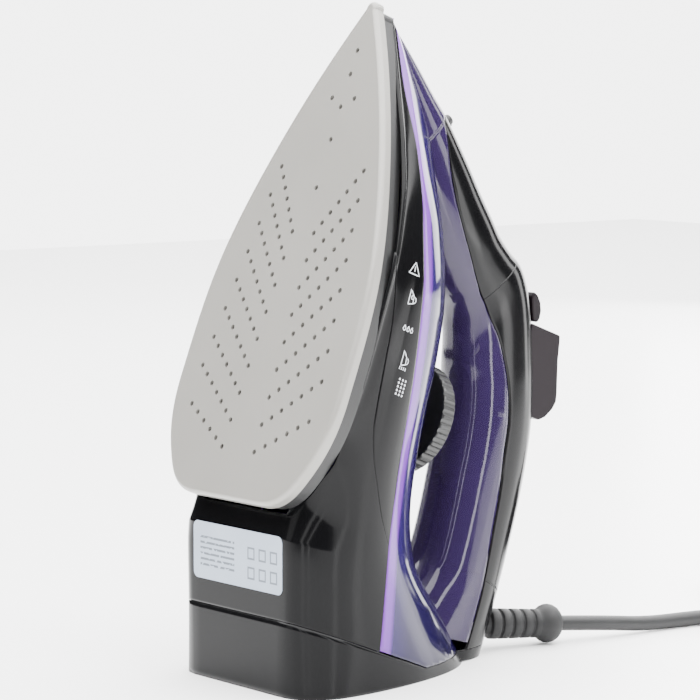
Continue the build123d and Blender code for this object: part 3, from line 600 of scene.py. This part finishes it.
def rear_piece():
    """Rear housing: the sides behind its joint line and the flat face below the sole's heel."""
    rows = 34
    u = np.concatenate([np.linspace(PARTING + GAP, 0, 60), np.linspace(0.5, REAR_END - 1, 80)])
    high = np.where(u < 0, skirt_seam(u) - GAP, np.maximum(rear_line(u) - GAP, UNDERSIDE + 0.05))
    low = np.minimum(hull_low(u), high - 0.04)
    part = 0.5 - 0.5 * np.cos(np.linspace(0, pi, rows))
    u_grid = np.repeat(u[:, None], rows, 1)
    w = low[:, None] + (high - low)[:, None] * part[None, :]
    v = hull_half(u_grid, w)
    ahead = u <= 0.01
    front, front_low = u[ahead], low[ahead]
    across = np.linspace(-1, 1, 15)
    face_u = np.repeat(front[:, None], len(across), 1)
    face_w = np.repeat(front_low[:, None], len(across), 1)
    face_v = hull_half(front, front_low)[:, None] * across[None, :]
    face = (place(face_u, face_v, face_w), grid_faces(len(front), len(across)))
    grids = two_sides(u_grid, v, w) + [face]
    return shell(joined("rear_shell", grids), WALL, (0, 0, 0.1))


def hull_back(z):
    """How far back the lower body reaches at a height above the floor, found by halving."""
    near, far = np.full_like(z, 60.0), np.full_like(z, 175.0)
    for _ in range(40):
        middle = (near + far) / 2
        u, w = standing(middle, z)
        inside = w < hull_numbers(u)[5]
        near, far = np.where(inside, middle, near), np.where(inside, far, middle)
    return near


def heel_front():
    """Where the upright front face of the heel stands along the floor."""
    return HEEL_END * sin(LEAN) + (FACE_W + (FACE_U - HEEL_END) * np.tan(LEAN)) * cos(LEAN)


def cap_piece():
    """Heel cap: level rings round the lower body, from the floor up to the slanting joint."""
    rows, columns, strip = 14, 80, 14
    along = np.sin(np.linspace(0, 1, columns) * pi / 2)
    along = 0.5 * along + 0.5 * (0.5 - 0.5 * np.cos(np.linspace(0, pi, columns)))
    up = np.linspace(0, 1, rows)[:, None]
    front = heel_front()
    z = up * 20.0 + 0 * along[None, :]
    for _ in range(6):
        x = front + (hull_back(z) - front) * along[None, :]
        joint = np.maximum(CAP_RIM, HEEL_DROP + (PARTING - GAP - x * sin(LEAN)) / cos(LEAN))
        z = up * joint
    u, w = standing(x, z)
    v = hull_half(u, w)
    v[:, -1] = 0
    sides = two_sides(u, v, w)
    across = np.linspace(-1, 1, strip)
    face = [(place(u[:, :1] + 0 * across, v[:, :1] * across, w[:, :1] + 0 * across),
             grid_faces(rows, strip))]
    base_u = np.repeat(u[0][:, None], strip, 1)
    base_w = np.repeat(w[0][:, None], strip, 1)
    base = [(place(base_u, v[0][:, None] * across[None, :], base_w), grid_faces(columns, strip))]
    obj = joined("heel_cap_shell", sides + face + base)
    foot = joined("foot", [band(21.0, RUNG_END, no_turn, full_turn, count=60)])
    tidy_mesh(foot)
    work = bmesh.new()
    work.from_mesh(foot.data)
    cut_level(work, 0.0, True, True)
    cut_level(work, CAP_RIM * 0.001, False, True)
    work.from_mesh(obj.data)
    work.to_mesh(obj.data)
    work.free()
    bpy.data.objects.remove(foot)
    return shell(obj, WALL)


# ---- upper body
COVER_START = 3.9
HEAD_END = 10.5
RUNG_END = float(len(RUNGS) - 1)
COVER_GAP = 0.012           # half the joint beside the black covers, in radians


def no_turn(s):
    """Angle zero at every rung position."""
    return 0 * s


def full_turn(s):
    """A whole turn at every rung position."""
    return 0 * s + 2 * pi


def band(start, end, first, last, count=160, around=64):
    """Part of the upper body between two rung positions and between two angle functions."""
    s = np.linspace(start, end, count)
    part = np.linspace(0, 1, around)
    low, high = first(s), last(s)
    angle = low[:, None] + (high - low)[:, None] * part[None, :]
    u, v, w = upper_point(np.repeat(s, around), angle)
    return place(u, v, w), grid_faces(count, around)


def cover_edge(s, gap):
    """Angle of the cover's joint line at rung position s, moved by a gap in radians."""
    return seam_angle(along_rungs(s)[:, 5]) + gap


def clear_shell_piece():
    """Clear handle shell: round the grip's inside from one joint line to the other, the nose
    whole, and the shoulder on the lower body."""
    grip = band(COVER_START, RUNG_END - 0.9, lambda s: cover_edge(s, COVER_GAP),
                lambda s: 2 * pi - cover_edge(s, COVER_GAP), around=72, count=230)
    nose = band(0.4, COVER_START - 0.015, no_turn, full_turn, count=50)
    return shell(joined("handle_shell_clear", [grip, nose] + shoulder_grids()), 2.0, None,
                 CAP_RIM + GAP)


def height_of(u, w):
    """Height above the floor of a point in working coordinates."""
    return u * cos(LEAN) - w * sin(LEAN) + HEEL_DROP


def rim_rungs(first, last, around):
    """For each column of a band, the rung at which it meets the heel cap's rim, by halving."""
    part = np.linspace(0, 1, around)
    near, far = np.full(around, 20.0), np.full(around, RUNG_END)
    for _ in range(30):
        s = (near + far) / 2
        u, _, w = upper_point(s, first(s) + (last(s) - first(s)) * part)
        above = height_of(u, w) > CAP_RIM + GAP
        near, far = np.where(above, s, near), np.where(above, far, s)
    return near


def band_to_rim(start, first, last, count=260, around=72):
    """A band whose far edge is the heel cap's rim."""
    end = rim_rungs(first, last, around)[None, :]
    s = start + (end - start) * np.linspace(0, 1, count)[:, None]
    low, high = first(s.ravel()).reshape(s.shape), last(s.ravel()).reshape(s.shape)
    angle = low + (high - low) * np.linspace(0, 1, around)[None, :]
    return place(*upper_point(s, angle)), grid_faces(count, around)


def side_angle(s, half):
    """Angle at which the section is this far from the middle plane."""
    width = along_rungs(s)[:, 4]
    return np.arcsin(np.clip((half / width) ** (ROUNDNESS / 2), 0, 1))


def cut_cover(name, start, end, hole_start, hole_end, half, rim=False):
    """A cover with a rectangular opening in the middle, as bands left, right and between."""
    def edge(s):
        return cover_edge(s, -COVER_GAP)

    def lip(s):
        return side_angle(s, half)

    outer = []
    runs = [(start, hole_start, 60), (hole_start, hole_end, 40), (hole_end, end, 60)]
    for low, high, count in runs:
        outer.append(band(low, high, lip, edge, count, 26))
        outer.append(band(low, high, lambda s: -edge(s), lambda s: -lip(s), count, 26))
    for low, high, count in (runs[0], runs[2]):
        outer.append(band(low, high, lambda s: -lip(s), lip, count, 24))
    if rim:
        outer.append(band_to_rim(end, lambda s: -edge(s), edge, count=120, around=74))
    return shell(joined(name, outer), 2.4, None, CAP_RIM + GAP)


DOOR_RUNGS = (7.25, 8.95)
DOOR_HALF = 7.6
BUTTON_RUNGS = (13.33, 16.02)
BUTTON_HALF = 11.0


def door_piece():
    """Filler door: the patch of the head's cover that fills its opening."""
    def lip(s):
        return side_angle(s, DOOR_HALF - 0.35)

    grid = band(DOOR_RUNGS[0] + 0.035, DOOR_RUNGS[1] - 0.035, lambda s: -lip(s), lip, 40, 26)
    return shell(joined("filler_door_skin", [grid]), 1.8)


def slab(name, points, near, far, bevel, steps=4):
    """A side-view outline carried across, with rounded edges."""
    points = np.asarray(points, float)
    count = len(points)
    u = np.tile(points[:, 0], 2)
    w = np.tile(points[:, 1], 2)
    v = np.repeat([near, far], count)
    mesh = bpy.data.meshes.new(name)
    ring = [[k, (k + 1) % count, count + (k + 1) % count, count + k] for k in range(count)]
    caps = [list(range(count))[::-1], [count + k for k in range(count)]]
    mesh.from_pydata(place(u, v, w).tolist(), [], ring + caps)
    obj = tidy_mesh(linked(name, mesh))
    round_edges = obj.modifiers.new("edges", "BEVEL")
    round_edges.width, round_edges.segments = bevel * 0.001, steps
    round_edges.limit_method = "ANGLE"
    round_edges.angle_limit = radians(22)
    round_edges.harden_normals = True
    return obj


def lathe(name, profile, origin, axis, around=64):
    """A profile of (distance along, radius) turned about an axis."""
    profile = np.asarray(profile, float)
    axis = Vector(axis).normalized()
    turn = axis.to_track_quat("Z", "Y").to_matrix()
    angle = np.linspace(0, 2 * pi, around, endpoint=False)[None, :]
    radius = profile[:, 1:2]
    local = np.stack([radius * np.cos(angle), radius * np.sin(angle),
                      profile[:, :1] + 0 * angle], -1).reshape(-1, 3)
    points = local @ np.array(turn).T + np.array(origin)
    obj = mesh_object(name, points * 0.001, grid_faces(len(profile), around, wrap=True))
    return tidy_mesh(obj)


BALL = (41.475, 0.0, 12.5)
BOOT_YAW, BOOT_DROP = radians(-13.0), radians(4.0)
BOOT_AXIS = (cos(BOOT_YAW) * cos(BOOT_DROP), sin(BOOT_YAW) * cos(BOOT_DROP), -sin(BOOT_DROP))


def boot_piece():
    """Bend protector: ball, neck, a sleeve with four grooves, and a smooth bulb at its end."""
    ball = [(-8.5 * cos(t), 8.5 * sin(t)) for t in np.linspace(0, pi * 0.79, 22)]
    neck = [(7.4, 5.0), (12.6, 5.0), (13.0, 5.4)]
    sleeve = [(13.1, 6.4), (13.6, 6.95), (16.4, 7.0)]
    for k in range(4):
        at = 17.4 + 5.6 * k
        wide = 7.0 - 0.12 * k
        sleeve += [(at - 0.3, wide), (at, wide - 0.5), (at + 0.2, 5.6), (at + 1.2, 5.6),
                   (at + 1.4, wide - 0.5), (at + 1.7, wide), (at + 3.9, wide - 0.1)]
    bulb = [(39.0 + t, r) for t, r in ((-0.6, 6.6), (0.5, 7.3), (1.8, 8.2), (3.4, 8.8), (5.0, 8.95),
                                      (6.8, 8.6), (8.6, 7.6), (10.0, 6.2), (10.7, 4.9), (11.0, 3.9))]
    return lathe("boot_sleeve", ball + neck + sleeve + bulb + [(49.9, 3.45)], BALL, BOOT_AXIS)


# Route of the mains lead along the floor from the boot to its coil, in metres.
LEAD_ROUTE = [(0.0901, -0.0112, 0.0090), (0.1134, -0.0166, 0.0073), (0.1400, -0.0170, 0.0037),
              (0.1680, -0.0190, 0.0036), (0.1960, -0.0260, 0.0036), (0.2220, -0.0370, 0.0038),
              (0.2500, -0.0470, 0.0046), (0.2800, -0.0490, 0.0051)]
COIL_CENTRE = (0.280, 0.0)
COIL_LANES = (0.049, 0.042, 0.035)       # radii of the turns, outside to inside
COIL_LOW = 0.0051
COIL_TURNS = 6.125
TURN_POINTS = 18
TAIL_LENGTH = 0.042
PLUG_AXIS = 0.0187


def coil_route():
    """Control points of the wound lead: turns inwards on the floor layer, outwards on top.

    The radius and the height are broken lines over the angle wound so far; each change of
    lane is 40 degrees long and each change of layer 60.
    """
    outer, middle, inner = COIL_LANES
    angle = np.arange(360 / TURN_POINTS, COIL_TURNS * 360 - 4, 360 / TURN_POINTS)
    radius = np.interp(angle, (0, 320, 360, 680, 720, 1285, 1325, 1645, 1685),
                       (outer, outer, middle, middle, inner, inner, middle, middle, outer))
    height = np.interp(angle, (0, 970, 1030, 1945, 2005), (0, 0, 0.007, 0.007, 0.0136))
    radius = radius * 2 / (1 + cos(pi / TURN_POINTS))
    turn = np.radians(angle - 90)
    return np.stack([COIL_CENTRE[0] + radius * np.cos(turn), COIL_CENTRE[1] + radius * np.sin(turn),
                     COIL_LOW + height], -1)


def tail_route():
    """Straight from the coil's top turn to the plug."""
    angle = radians(COIL_TURNS * 360 - 90)
    leave = np.array([COIL_CENTRE[0] + COIL_LANES[0] * cos(angle),
                      COIL_CENTRE[1] + COIL_LANES[0] * sin(angle), PLUG_AXIS])
    heading = np.array([-sin(angle), cos(angle), 0])
    return np.array([leave + heading * TAIL_LENGTH * part for part in (0.0, 0.5, 1.0)])


def lead_piece():
    """The whole mains lead as one smooth spline."""
    points = np.vstack([np.array(LEAD_ROUTE), coil_route(), tail_route()])
    curve = bpy.data.curves.new("mains_lead_cord", "CURVE")
    curve.dimensions = "3D"
    spline = curve.splines.new("NURBS")
    spline.points.add(len(points) - 1)
    spline.points.foreach_set("co", np.hstack([points, np.ones((len(points), 1))]).ravel())
    spline.order_u = 3
    spline.use_endpoint_u = True
    spline.resolution_u = 6
    curve.bevel_depth = 0.0035
    curve.bevel_resolution = 5
    curve.use_fill_caps = True
    return linked("mains_lead_cord", curve)


# ---- marks
def ribbon_grids(marks, u_mid, w_mid, size, width, raise_by=0.12):
    """Thin raised strokes on both sides of the skirt.

    Each stroke is a line of (x, y) in units of the mark's size; it is laid on the surface and
    given its width along the surface's own plane, square to the stroke.
    """
    grids = []
    for stroke in marks:
        line = np.asarray(stroke, float) * size
        step = np.gradient(line, axis=0)
        step /= np.linalg.norm(step, axis=1)[:, None]
        side = np.stack([-step[:, 1], step[:, 0]], -1) * width / 2
        both = np.stack([line + side, line - side], 1)
        u = u_mid + both[..., 0]
        w = w_mid + both[..., 1]
        v = hull_half(u, w) + raise_by
        grids += two_sides(u, v, w)
    return grids


def arc(x, y, radius, start, end, count=14):
    """Points on a circle."""
    turn = np.radians(np.linspace(start, end, count))
    return np.stack([x + radius * np.cos(turn), y + radius * np.sin(turn)], -1)


def run(*corners):
    """Points along straight lines between corners."""
    parts = [np.linspace(a, b, 6)[:-1] for a, b in zip(corners[:-1], corners[1:])]
    return np.vstack(parts + [[corners[-1]]])


def drop_mark(x, y, radius):
    """A water drop's outline."""
    return np.vstack([run((x + radius * 2.1, y), (x + radius * 0.75, y + radius * 0.7)),
                      arc(x, y, radius, 50, 310), run((x + radius * 0.75, y - radius * 0.7),
                                                      (x + radius * 2.1, y))])


def marks_piece():
    """Plain pictograms on the skirt: triangle, drops, iron outline and a grid of steam dots."""
    iron = [run((-0.7, -0.45), (0.9, -0.45), (0.3, 0.15), (-0.5, 0.2), (-0.7, -0.45)),
            arc(-0.1, 0.2, 0.35, 20, 175)]
    triangle = [run((-0.6, -0.75), (-0.6, 0.75), (0.7, 0.0), (-0.6, -0.75)),
                run((-0.3, 0.0), (0.25, 0.0))]
    drops = [drop_mark(0.1, -0.55, 0.18), drop_mark(0.1, 0.0, 0.18), drop_mark(0.1, 0.55, 0.18)]
    dots = [arc(x, y, 0.08, 0, 360) for x in (-0.7, -0.3, 0.1, 0.5, 0.9) for y in (-0.5, 0.0, 0.5)]
    under = [run((-0.8, y), (-1.15, y)) for y in (-0.5, -0.2, 0.1, 0.4)]
    grids = []
    for marks, u, w in ((triangle, 114, 23.5), (iron + drops[1:2], 101.5, 25.5), (drops, 88, 27.5),
                        (iron + under, 76, 30.5), (dots, 64, 32.5)):
        grids += ribbon_grids(marks, u, w, 4.0, 0.42)
    return joined("skirt_marks", grids)


# ---- finishes of this iron
def tank_finish():
    """Deep violet clear tank; a painted highlight runs as a brighter band along its lower joint."""
    finish = Finish("tank_violet", Roughness=0.08, IOR=1.46, Alpha=0.96,
                    Specular_IOR_Level=0.3)
    uv = finish.node("ShaderNodeTexCoord", {}, {}, "UV")
    above = finish.node("ShaderNodeSeparateXYZ", {}, {"Vector": uv}, 0)
    cloud = finish.noise(20.0, 3.0)
    level = above + 0.012 * cloud
    # Colour by height above the skirt's joint: the first stops are a painted highlight band, the rest the
    # tank's violet, darker further up.
    colours = finish.node("ShaderNodeValToRGB", {"stops": [
        (0.0, rgb("6a3596")), (0.06, rgb("5f2f8a")), (0.085, rgb("1f1444")), (0.2, rgb("140d30")),
        (0.5, rgb("100a28"))]}, {"Fac": level}, 0)
    finish.feed("Base Color", colours)
    finish.feed("Roughness", 0.06 + 0.05 * cloud)
    finish.bump(finish.noise(110.0, 2.0), 0.02, 0.0004)
    return finish


def label_finish():
    """Silver foil with rows of short grey bars and a few framed squares."""
    finish = Finish("label_foil", Roughness=0.35, Metallic=0.35)
    coords = finish.node("ShaderNodeTexCoord", {}, {}, "Object")
    axes = [finish.node("ShaderNodeSeparateXYZ", {}, {"Vector": coords}, k) for k in (1, 2)]
    across, up = axes[0] * 1000.0, axes[1] * 1000.0
    row = ((up - 44.5) / 2.4).fract()
    line = (row < 0.42) * (up > 49.0) * (up < 62.5)
    left = (across > 2.0) * (across < 27.0)
    breaks = finish.noise(1.0, 2.0, 0.5, finish.place((1, 420.0, 420.0))) > 0.42
    bars = line * left * breaks
    cell_y = ((across + 30.0) / 8.0).fract()
    cell_z = ((up - 46.0) / 8.5).fract()
    frame_in = (cell_y > 0.18) * (cell_y < 0.82) * (cell_z > 0.18) * (cell_z < 0.82)
    core = (cell_y > 0.28) * (cell_y < 0.72) * (cell_z > 0.28) * (cell_z < 0.72)
    right = (across > -29.5) * (across < -6.0) * (up > 46.0) * (up < 63.0)
    squares = (frame_in - core) * right
    ink = bars * 0.75 + squares * 0.7
    cloud = finish.noise(30.0, 3.0)
    foil = finish.mix(cloud, rgb("99a3b0"), rgb("838e9c"))
    finish.feed("Base Color", finish.mix(ink, foil, rgb("20252c")))
    finish.feed("Roughness", 0.30 + 0.12 * cloud)
    finish.bump(finish.noise(400.0, 2.0), 0.03, 0.0002)
    return finish


def cad_finishes():
    """A finish for every CAD node that stays, by node name."""
    black = matte_plastic("shield_matt_black", "060607", 0.5)
    steel = metal("drawn_steel", "b9b9bd", 0.3, (1, 1, 8))
    cast = metal("cast_alloy", "9d9fa3", 0.5)
    seal = rubber("seal_grey", "55504c")
    white = matte_plastic("white_nylon", "dcdad4", 0.42, 0.15)
    dark = gloss_plastic("duct_violet", "21142c", 0.3, 0.2)
    violet = gloss_plastic("inner_violet", "2b1f4d", 0.2, 0.4)
    brass = metal("pin_brass", "c9b27a", 0.28)
    dial = matte_plastic("dial_black", "070708", 0.38, 0.2)
    plug = rubber("plug_black", "070708", 0.5)
    clear = tinted_plastic("clear_tube", rgb("b8c4cc"), rgb("9fb0ba"), 0.55)
    lamp = tinted_plastic("lamp_amber", rgb("e07a2a"), rgb("c85a14"), 0.85)
    return {
        "soleplate": ceramic_sole("sole_ceramic"), "heat_shield": black, "heater_casting": cast,
        "heating_element": steel, "element_terminals": steel, "chamber_gasket": seal,
        "chamber_cover": steel, "thermostat_body": white, "thermostat_shaft": steel,
        "thermal_fuse": steel, "shaft_tube": violet, "temperature_dial": dial, "tank_floor": violet,
        "spray_pump_barrel": white, "steam_pump_barrel": white, "spray_pump_piston": white,
        "steam_pump_piston": white, "spray_pump_spring": steel, "steam_pump_spring": steel,
        "needle_rod": steel, "valve_seat": seal, "spray_nozzle": black, "spray_tube": clear,
        "handle_core": dark, "pilot_lamp": lamp, "rating_label": label_finish(), "cord_socket": black,
        "coil_tie": plug, "plug_body": plug, "plug_pins": brass}


# ---- settings and operators
class IronSettings(bpy.types.PropertyGroup):
    """Sizes and colours that a user may change."""
    shell_alpha: FloatProperty(name="Handle shell opacity", default=0.86, min=0.1, max=1.0,
                               description="Opacity of the clear handle shell", subtype="FACTOR")
    shell_colour: FloatVectorProperty(name="Handle shell colour", default=rgb("1c142e")[:3], size=3,
                                      description="Tint of the clear handle shell",
                                      subtype="COLOR", min=0, max=1)
    focal: FloatProperty(name="Lens", description="Focal length of the camera in millimetres",
                         default=164.83, min=20, max=400)
    camera_distance: FloatProperty(name="Camera distance", description="From the aim point to the camera",
                                   default=1.4, unit="LENGTH", min=0.5, max=5)


class IRON_OT_camera(bpy.types.Operator):
    """Camera in front of the sole, to its left"""
    bl_idname = "iron.camera"
    bl_label = "Camera"

    def execute(self, context):
        settings = context.scene.iron_settings
        data = bpy.data.cameras.new("front_left")
        data.lens, data.sensor_width = settings.focal, 36.0
        data.clip_start, data.clip_end = 0.05, 20.0
        camera = linked("front_left", data)
        back = Vector((-0.614, -0.783, 0.0993)).normalized()
        camera.location = Vector((-0.0229, 0.0, 0.1412)) + back * settings.camera_distance
        camera.rotation_euler = back.to_track_quat("Z", "Y").to_euler()
        context.scene.camera = camera
        return {"FINISHED"}


class IRON_OT_lead(bpy.types.Operator):
    """Mains lead with its bend protector"""
    bl_idname = "iron.lead"
    bl_label = "Mains lead"

    def execute(self, context):
        boot = finished(boot_piece(), "mains_lead", rubber("boot_rubber", "070708"), "cord_rubber",
                        "cord_boot")
        lead = finished(lead_piece(), "mains_lead", rubber("lead_rubber", "070708", 0.5), "cord_rubber",
                        "cord_lead", "cord_coil", "cord_tail")
        return {"FINISHED"}


class IRON_OT_base(bpy.types.Operator):
    """Skirt, rear housing, heel cap and the marks on the skirt"""
    bl_idname = "iron.base"
    bl_label = "Black base"

    def execute(self, context):
        black = gloss_plastic("gloss_black", "020203", 0.10)
        cap = gloss_plastic("cap_black", "030304", 0.13)
        finished(skirt_piece(), "casing", black, "black_gloss", "skirt")
        finished(rear_piece(), "casing", black, "black_gloss", "rear_housing")
        finished(cap_piece(), "casing", cap, "black_gloss", "heel_cap")
        finished(marks_piece(), "casing", matte_plastic("mark_grey", "a9acb0", 0.45), "label_foil")
        return {"FINISHED"}


class IRON_OT_tank(bpy.types.Operator):
    """Violet water tank"""
    bl_idname = "iron.tank"
    bl_label = "Water tank"

    def execute(self, context):
        finished(tank_piece(), "casing", tank_finish(), "tank_purple", "water_tank")
        return {"FINISHED"}


class IRON_OT_handle(bpy.types.Operator):
    """Clear handle shell with the black covers and the filler door"""
    bl_idname = "iron.handle"
    bl_label = "Handle"

    def execute(self, context):
        settings = context.scene.iron_settings
        tint = (*settings.shell_colour, 1)
        clear = tinted_plastic("shell_violet", tint, rgb("281d3c"), settings.shell_alpha)
        black = gloss_plastic("cover_black", "020203", 0.10, shine=0.2)
        plum = gloss_plastic("door_plum", "160a13", 0.2)
        finished(clear_shell_piece(), "casing", clear, "grip_purple", "handle_shell")
        front = cut_cover("front_cover_skin", COVER_START, HEAD_END - 0.01, *DOOR_RUNGS, DOOR_HALF)
        finished(front, "casing", black, "black_gloss", "front_cover")
        grip = cut_cover("handle_cover_skin", HEAD_END + 0.01, 20.5, *BUTTON_RUNGS, BUTTON_HALF + 0.45, True)
        finished(grip, "casing", black, "black_gloss", "handle_cover")
        finished(door_piece(), "door", plum, "plum", "filler_door")
        return {"FINISHED"}


class IRON_OT_controls(bpy.types.Operator):
    """Spray and steam buttons and the steam selector"""
    bl_idname = "iron.controls"
    bl_label = "Controls"

    def execute(self, context):
        plum = gloss_plastic("button_plum", "090307", 0.25)
        wedge = [(81, 130), (81, 150.4), (83.5, 153.6), (88, 156.4), (92, 157.4), (96, 156.4),
                 (102, 154.3), (110, 151.6), (118, 149.6), (121, 148.6), (121, 130)]
        for name, near, far, body in (("spray", 0.3, BUTTON_HALF, "spray_control"),
                                      ("steam", -BUTTON_HALF, -0.3, "steam_control")):
            obj = slab(name + "_button_cap", wedge, near, far, 0.9)
            finished(obj, body, plum, "plum", name + "_button")
        dome = [(123.2, 134.8), (123.4, 138.2), (125.6, 138.8), (129, 138.4), (132.6, 136.6),
                (135.2, 133.8), (136, 131), (133, 130.4)]
        finished(slab("selector_knob", dome, -5.5, 5.5, 1.0), "selector", plum, "plum", "steam_selector")
        return {"FINISHED"}


class IRON_OT_inside(bpy.types.Operator):
    """Finishes of the pieces whose shape comes as it is"""
    bl_idname = "iron.inside"
    bl_label = "Sole, dial and inner pieces"

    def execute(self, context):
        for name, finish in cad_finishes().items():
            paint(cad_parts[name], finish)
        return {"FINISHED"}


FLOOR_HALF = 2.4
# Brightness of the surroundings: as seen, as reflected, and as light on the pieces.
ROOM_SEEN = 5.4
ROOM_SHINE = 0.1
ROOM_LIGHT = 0.5


def soft_light(name, place_at, aim, size, power):
    """A rectangular lamp that looks at a point."""
    data = bpy.data.lights.new(name, "AREA")
    data.shape, data.size, data.size_y = "RECTANGLE", size[0], size[1]
    data.energy = power
    lamp = linked(name, data)
    lamp.location = place_at
    lamp.visible_camera = False
    lamp.rotation_euler = (Vector(place_at) - Vector(aim)).to_track_quat("Z", "Y").to_euler()
    return lamp


class IRON_OT_stage(bpy.types.Operator):
    """Pale floor, pale surroundings and soft lights"""
    bl_idname = "iron.stage"
    bl_label = "Stage"

    def execute(self, context):
        corners = np.array([(x, y, 0) for x, y in ((-1, -1), (1, -1), (1, 1), (-1, 1))]) * FLOOR_HALF
        floor = mesh_object("floor", corners, np.array([[0, 1, 2, 3]]), smooth=False)
        pale = Finish("floor_pale", Roughness=0.32, Base_Color=(0.93, 0.93, 0.93, 1))
        paint(floor, pale)
        world = bpy.data.worlds.new("pale_room")
        world.use_nodes = True
        tree = world.node_tree
        tree.nodes["Background"].inputs["Color"].default_value = (1, 1, 1, 1)
        rays = tree.nodes.new("ShaderNodeLightPath")
        levels = (("Is Camera Ray", ROOM_SEEN - ROOM_LIGHT), ("Is Glossy Ray", ROOM_SHINE - ROOM_LIGHT))
        total = None
        for output, change in levels:
            part = tree.nodes.new("ShaderNodeMath")
            part.operation = "MULTIPLY_ADD"
            tree.links.new(rays.outputs[output], part.inputs[0])
            part.inputs[1].default_value = change
            part.inputs[2].default_value = ROOM_LIGHT
            if total is not None:
                tree.links.new(total.outputs[0], part.inputs[2])
            total = part
        tree.links.new(total.outputs[0], tree.nodes["Background"].inputs["Strength"])
        context.scene.world = world
        aim = (0.0, 0.0, 0.14)
        soft_light("overhead", (0.4, 0.6, 4.0), (0.4, 0.6, 0), (9.0, 9.0), 3000)
        soft_light("key", (-1.6, 0.5, 0.9), aim, (0.7, 1.6), 6)
        soft_light("strip_near", (0.15, -1.7, 0.5), aim, (0.16, 1.8), 14)
        soft_light("strip_right", (1.0, -1.3, 0.5), aim, (0.3, 1.8), 16)
        soft_light("strip_left", (-1.5, -0.9, 0.4), aim, (0.22, 1.8), 7)
        soft_light("strip_far_left", (-1.2, -1.25, 0.4), aim, (0.1, 1.8), 4)
        soft_light("rim", (1.5, -0.35, 0.6), aim, (0.3, 1.6), 12)
        soft_light("card", (1.5, 0.75, 0.66), aim, (1.1, 1.2), 34)
        return {"FINISHED"}


class IRON_PT_panel(bpy.types.Panel):
    """Lists the steps"""
    bl_label = "Steam iron"
    bl_idname = "IRON_PT_panel"
    bl_space_type = "VIEW_3D"
    bl_region_type = "UI"
    bl_category = "Steam iron"

    def draw(self, context):
        settings = context.scene.iron_settings
        for name in ("shell_alpha", "shell_colour", "focal", "camera_distance"):
            self.layout.prop(settings, name)
        for step in STEPS:
            self.layout.operator(step.bl_idname)


STEPS = (IRON_OT_camera, IRON_OT_lead, IRON_OT_base, IRON_OT_tank, IRON_OT_handle,
         IRON_OT_controls, IRON_OT_inside, IRON_OT_stage)


def register():
    """Register the settings, the operators and the panel."""
    for kind in (IronSettings, *STEPS, IRON_PT_panel):
        bpy.utils.register_class(kind)
    bpy.types.Scene.iron_settings = PointerProperty(type=IronSettings)


def unregister():
    """Undo register()."""
    del bpy.types.Scene.iron_settings
    for kind in (IRON_PT_panel, *reversed(STEPS), IronSettings):
        bpy.utils.unregister_class(kind)


def main():
    """Build everything."""
    register()
    bpy.ops.iron.camera()
    bpy.ops.iron.lead()
    bpy.ops.iron.base()
    bpy.ops.iron.tank()
    bpy.ops.iron.handle()
    bpy.ops.iron.controls()
    bpy.ops.iron.inside()
    bpy.ops.iron.stage()
    bpy.context.view_layer.update()


if __name__ == "__main__":
    main()
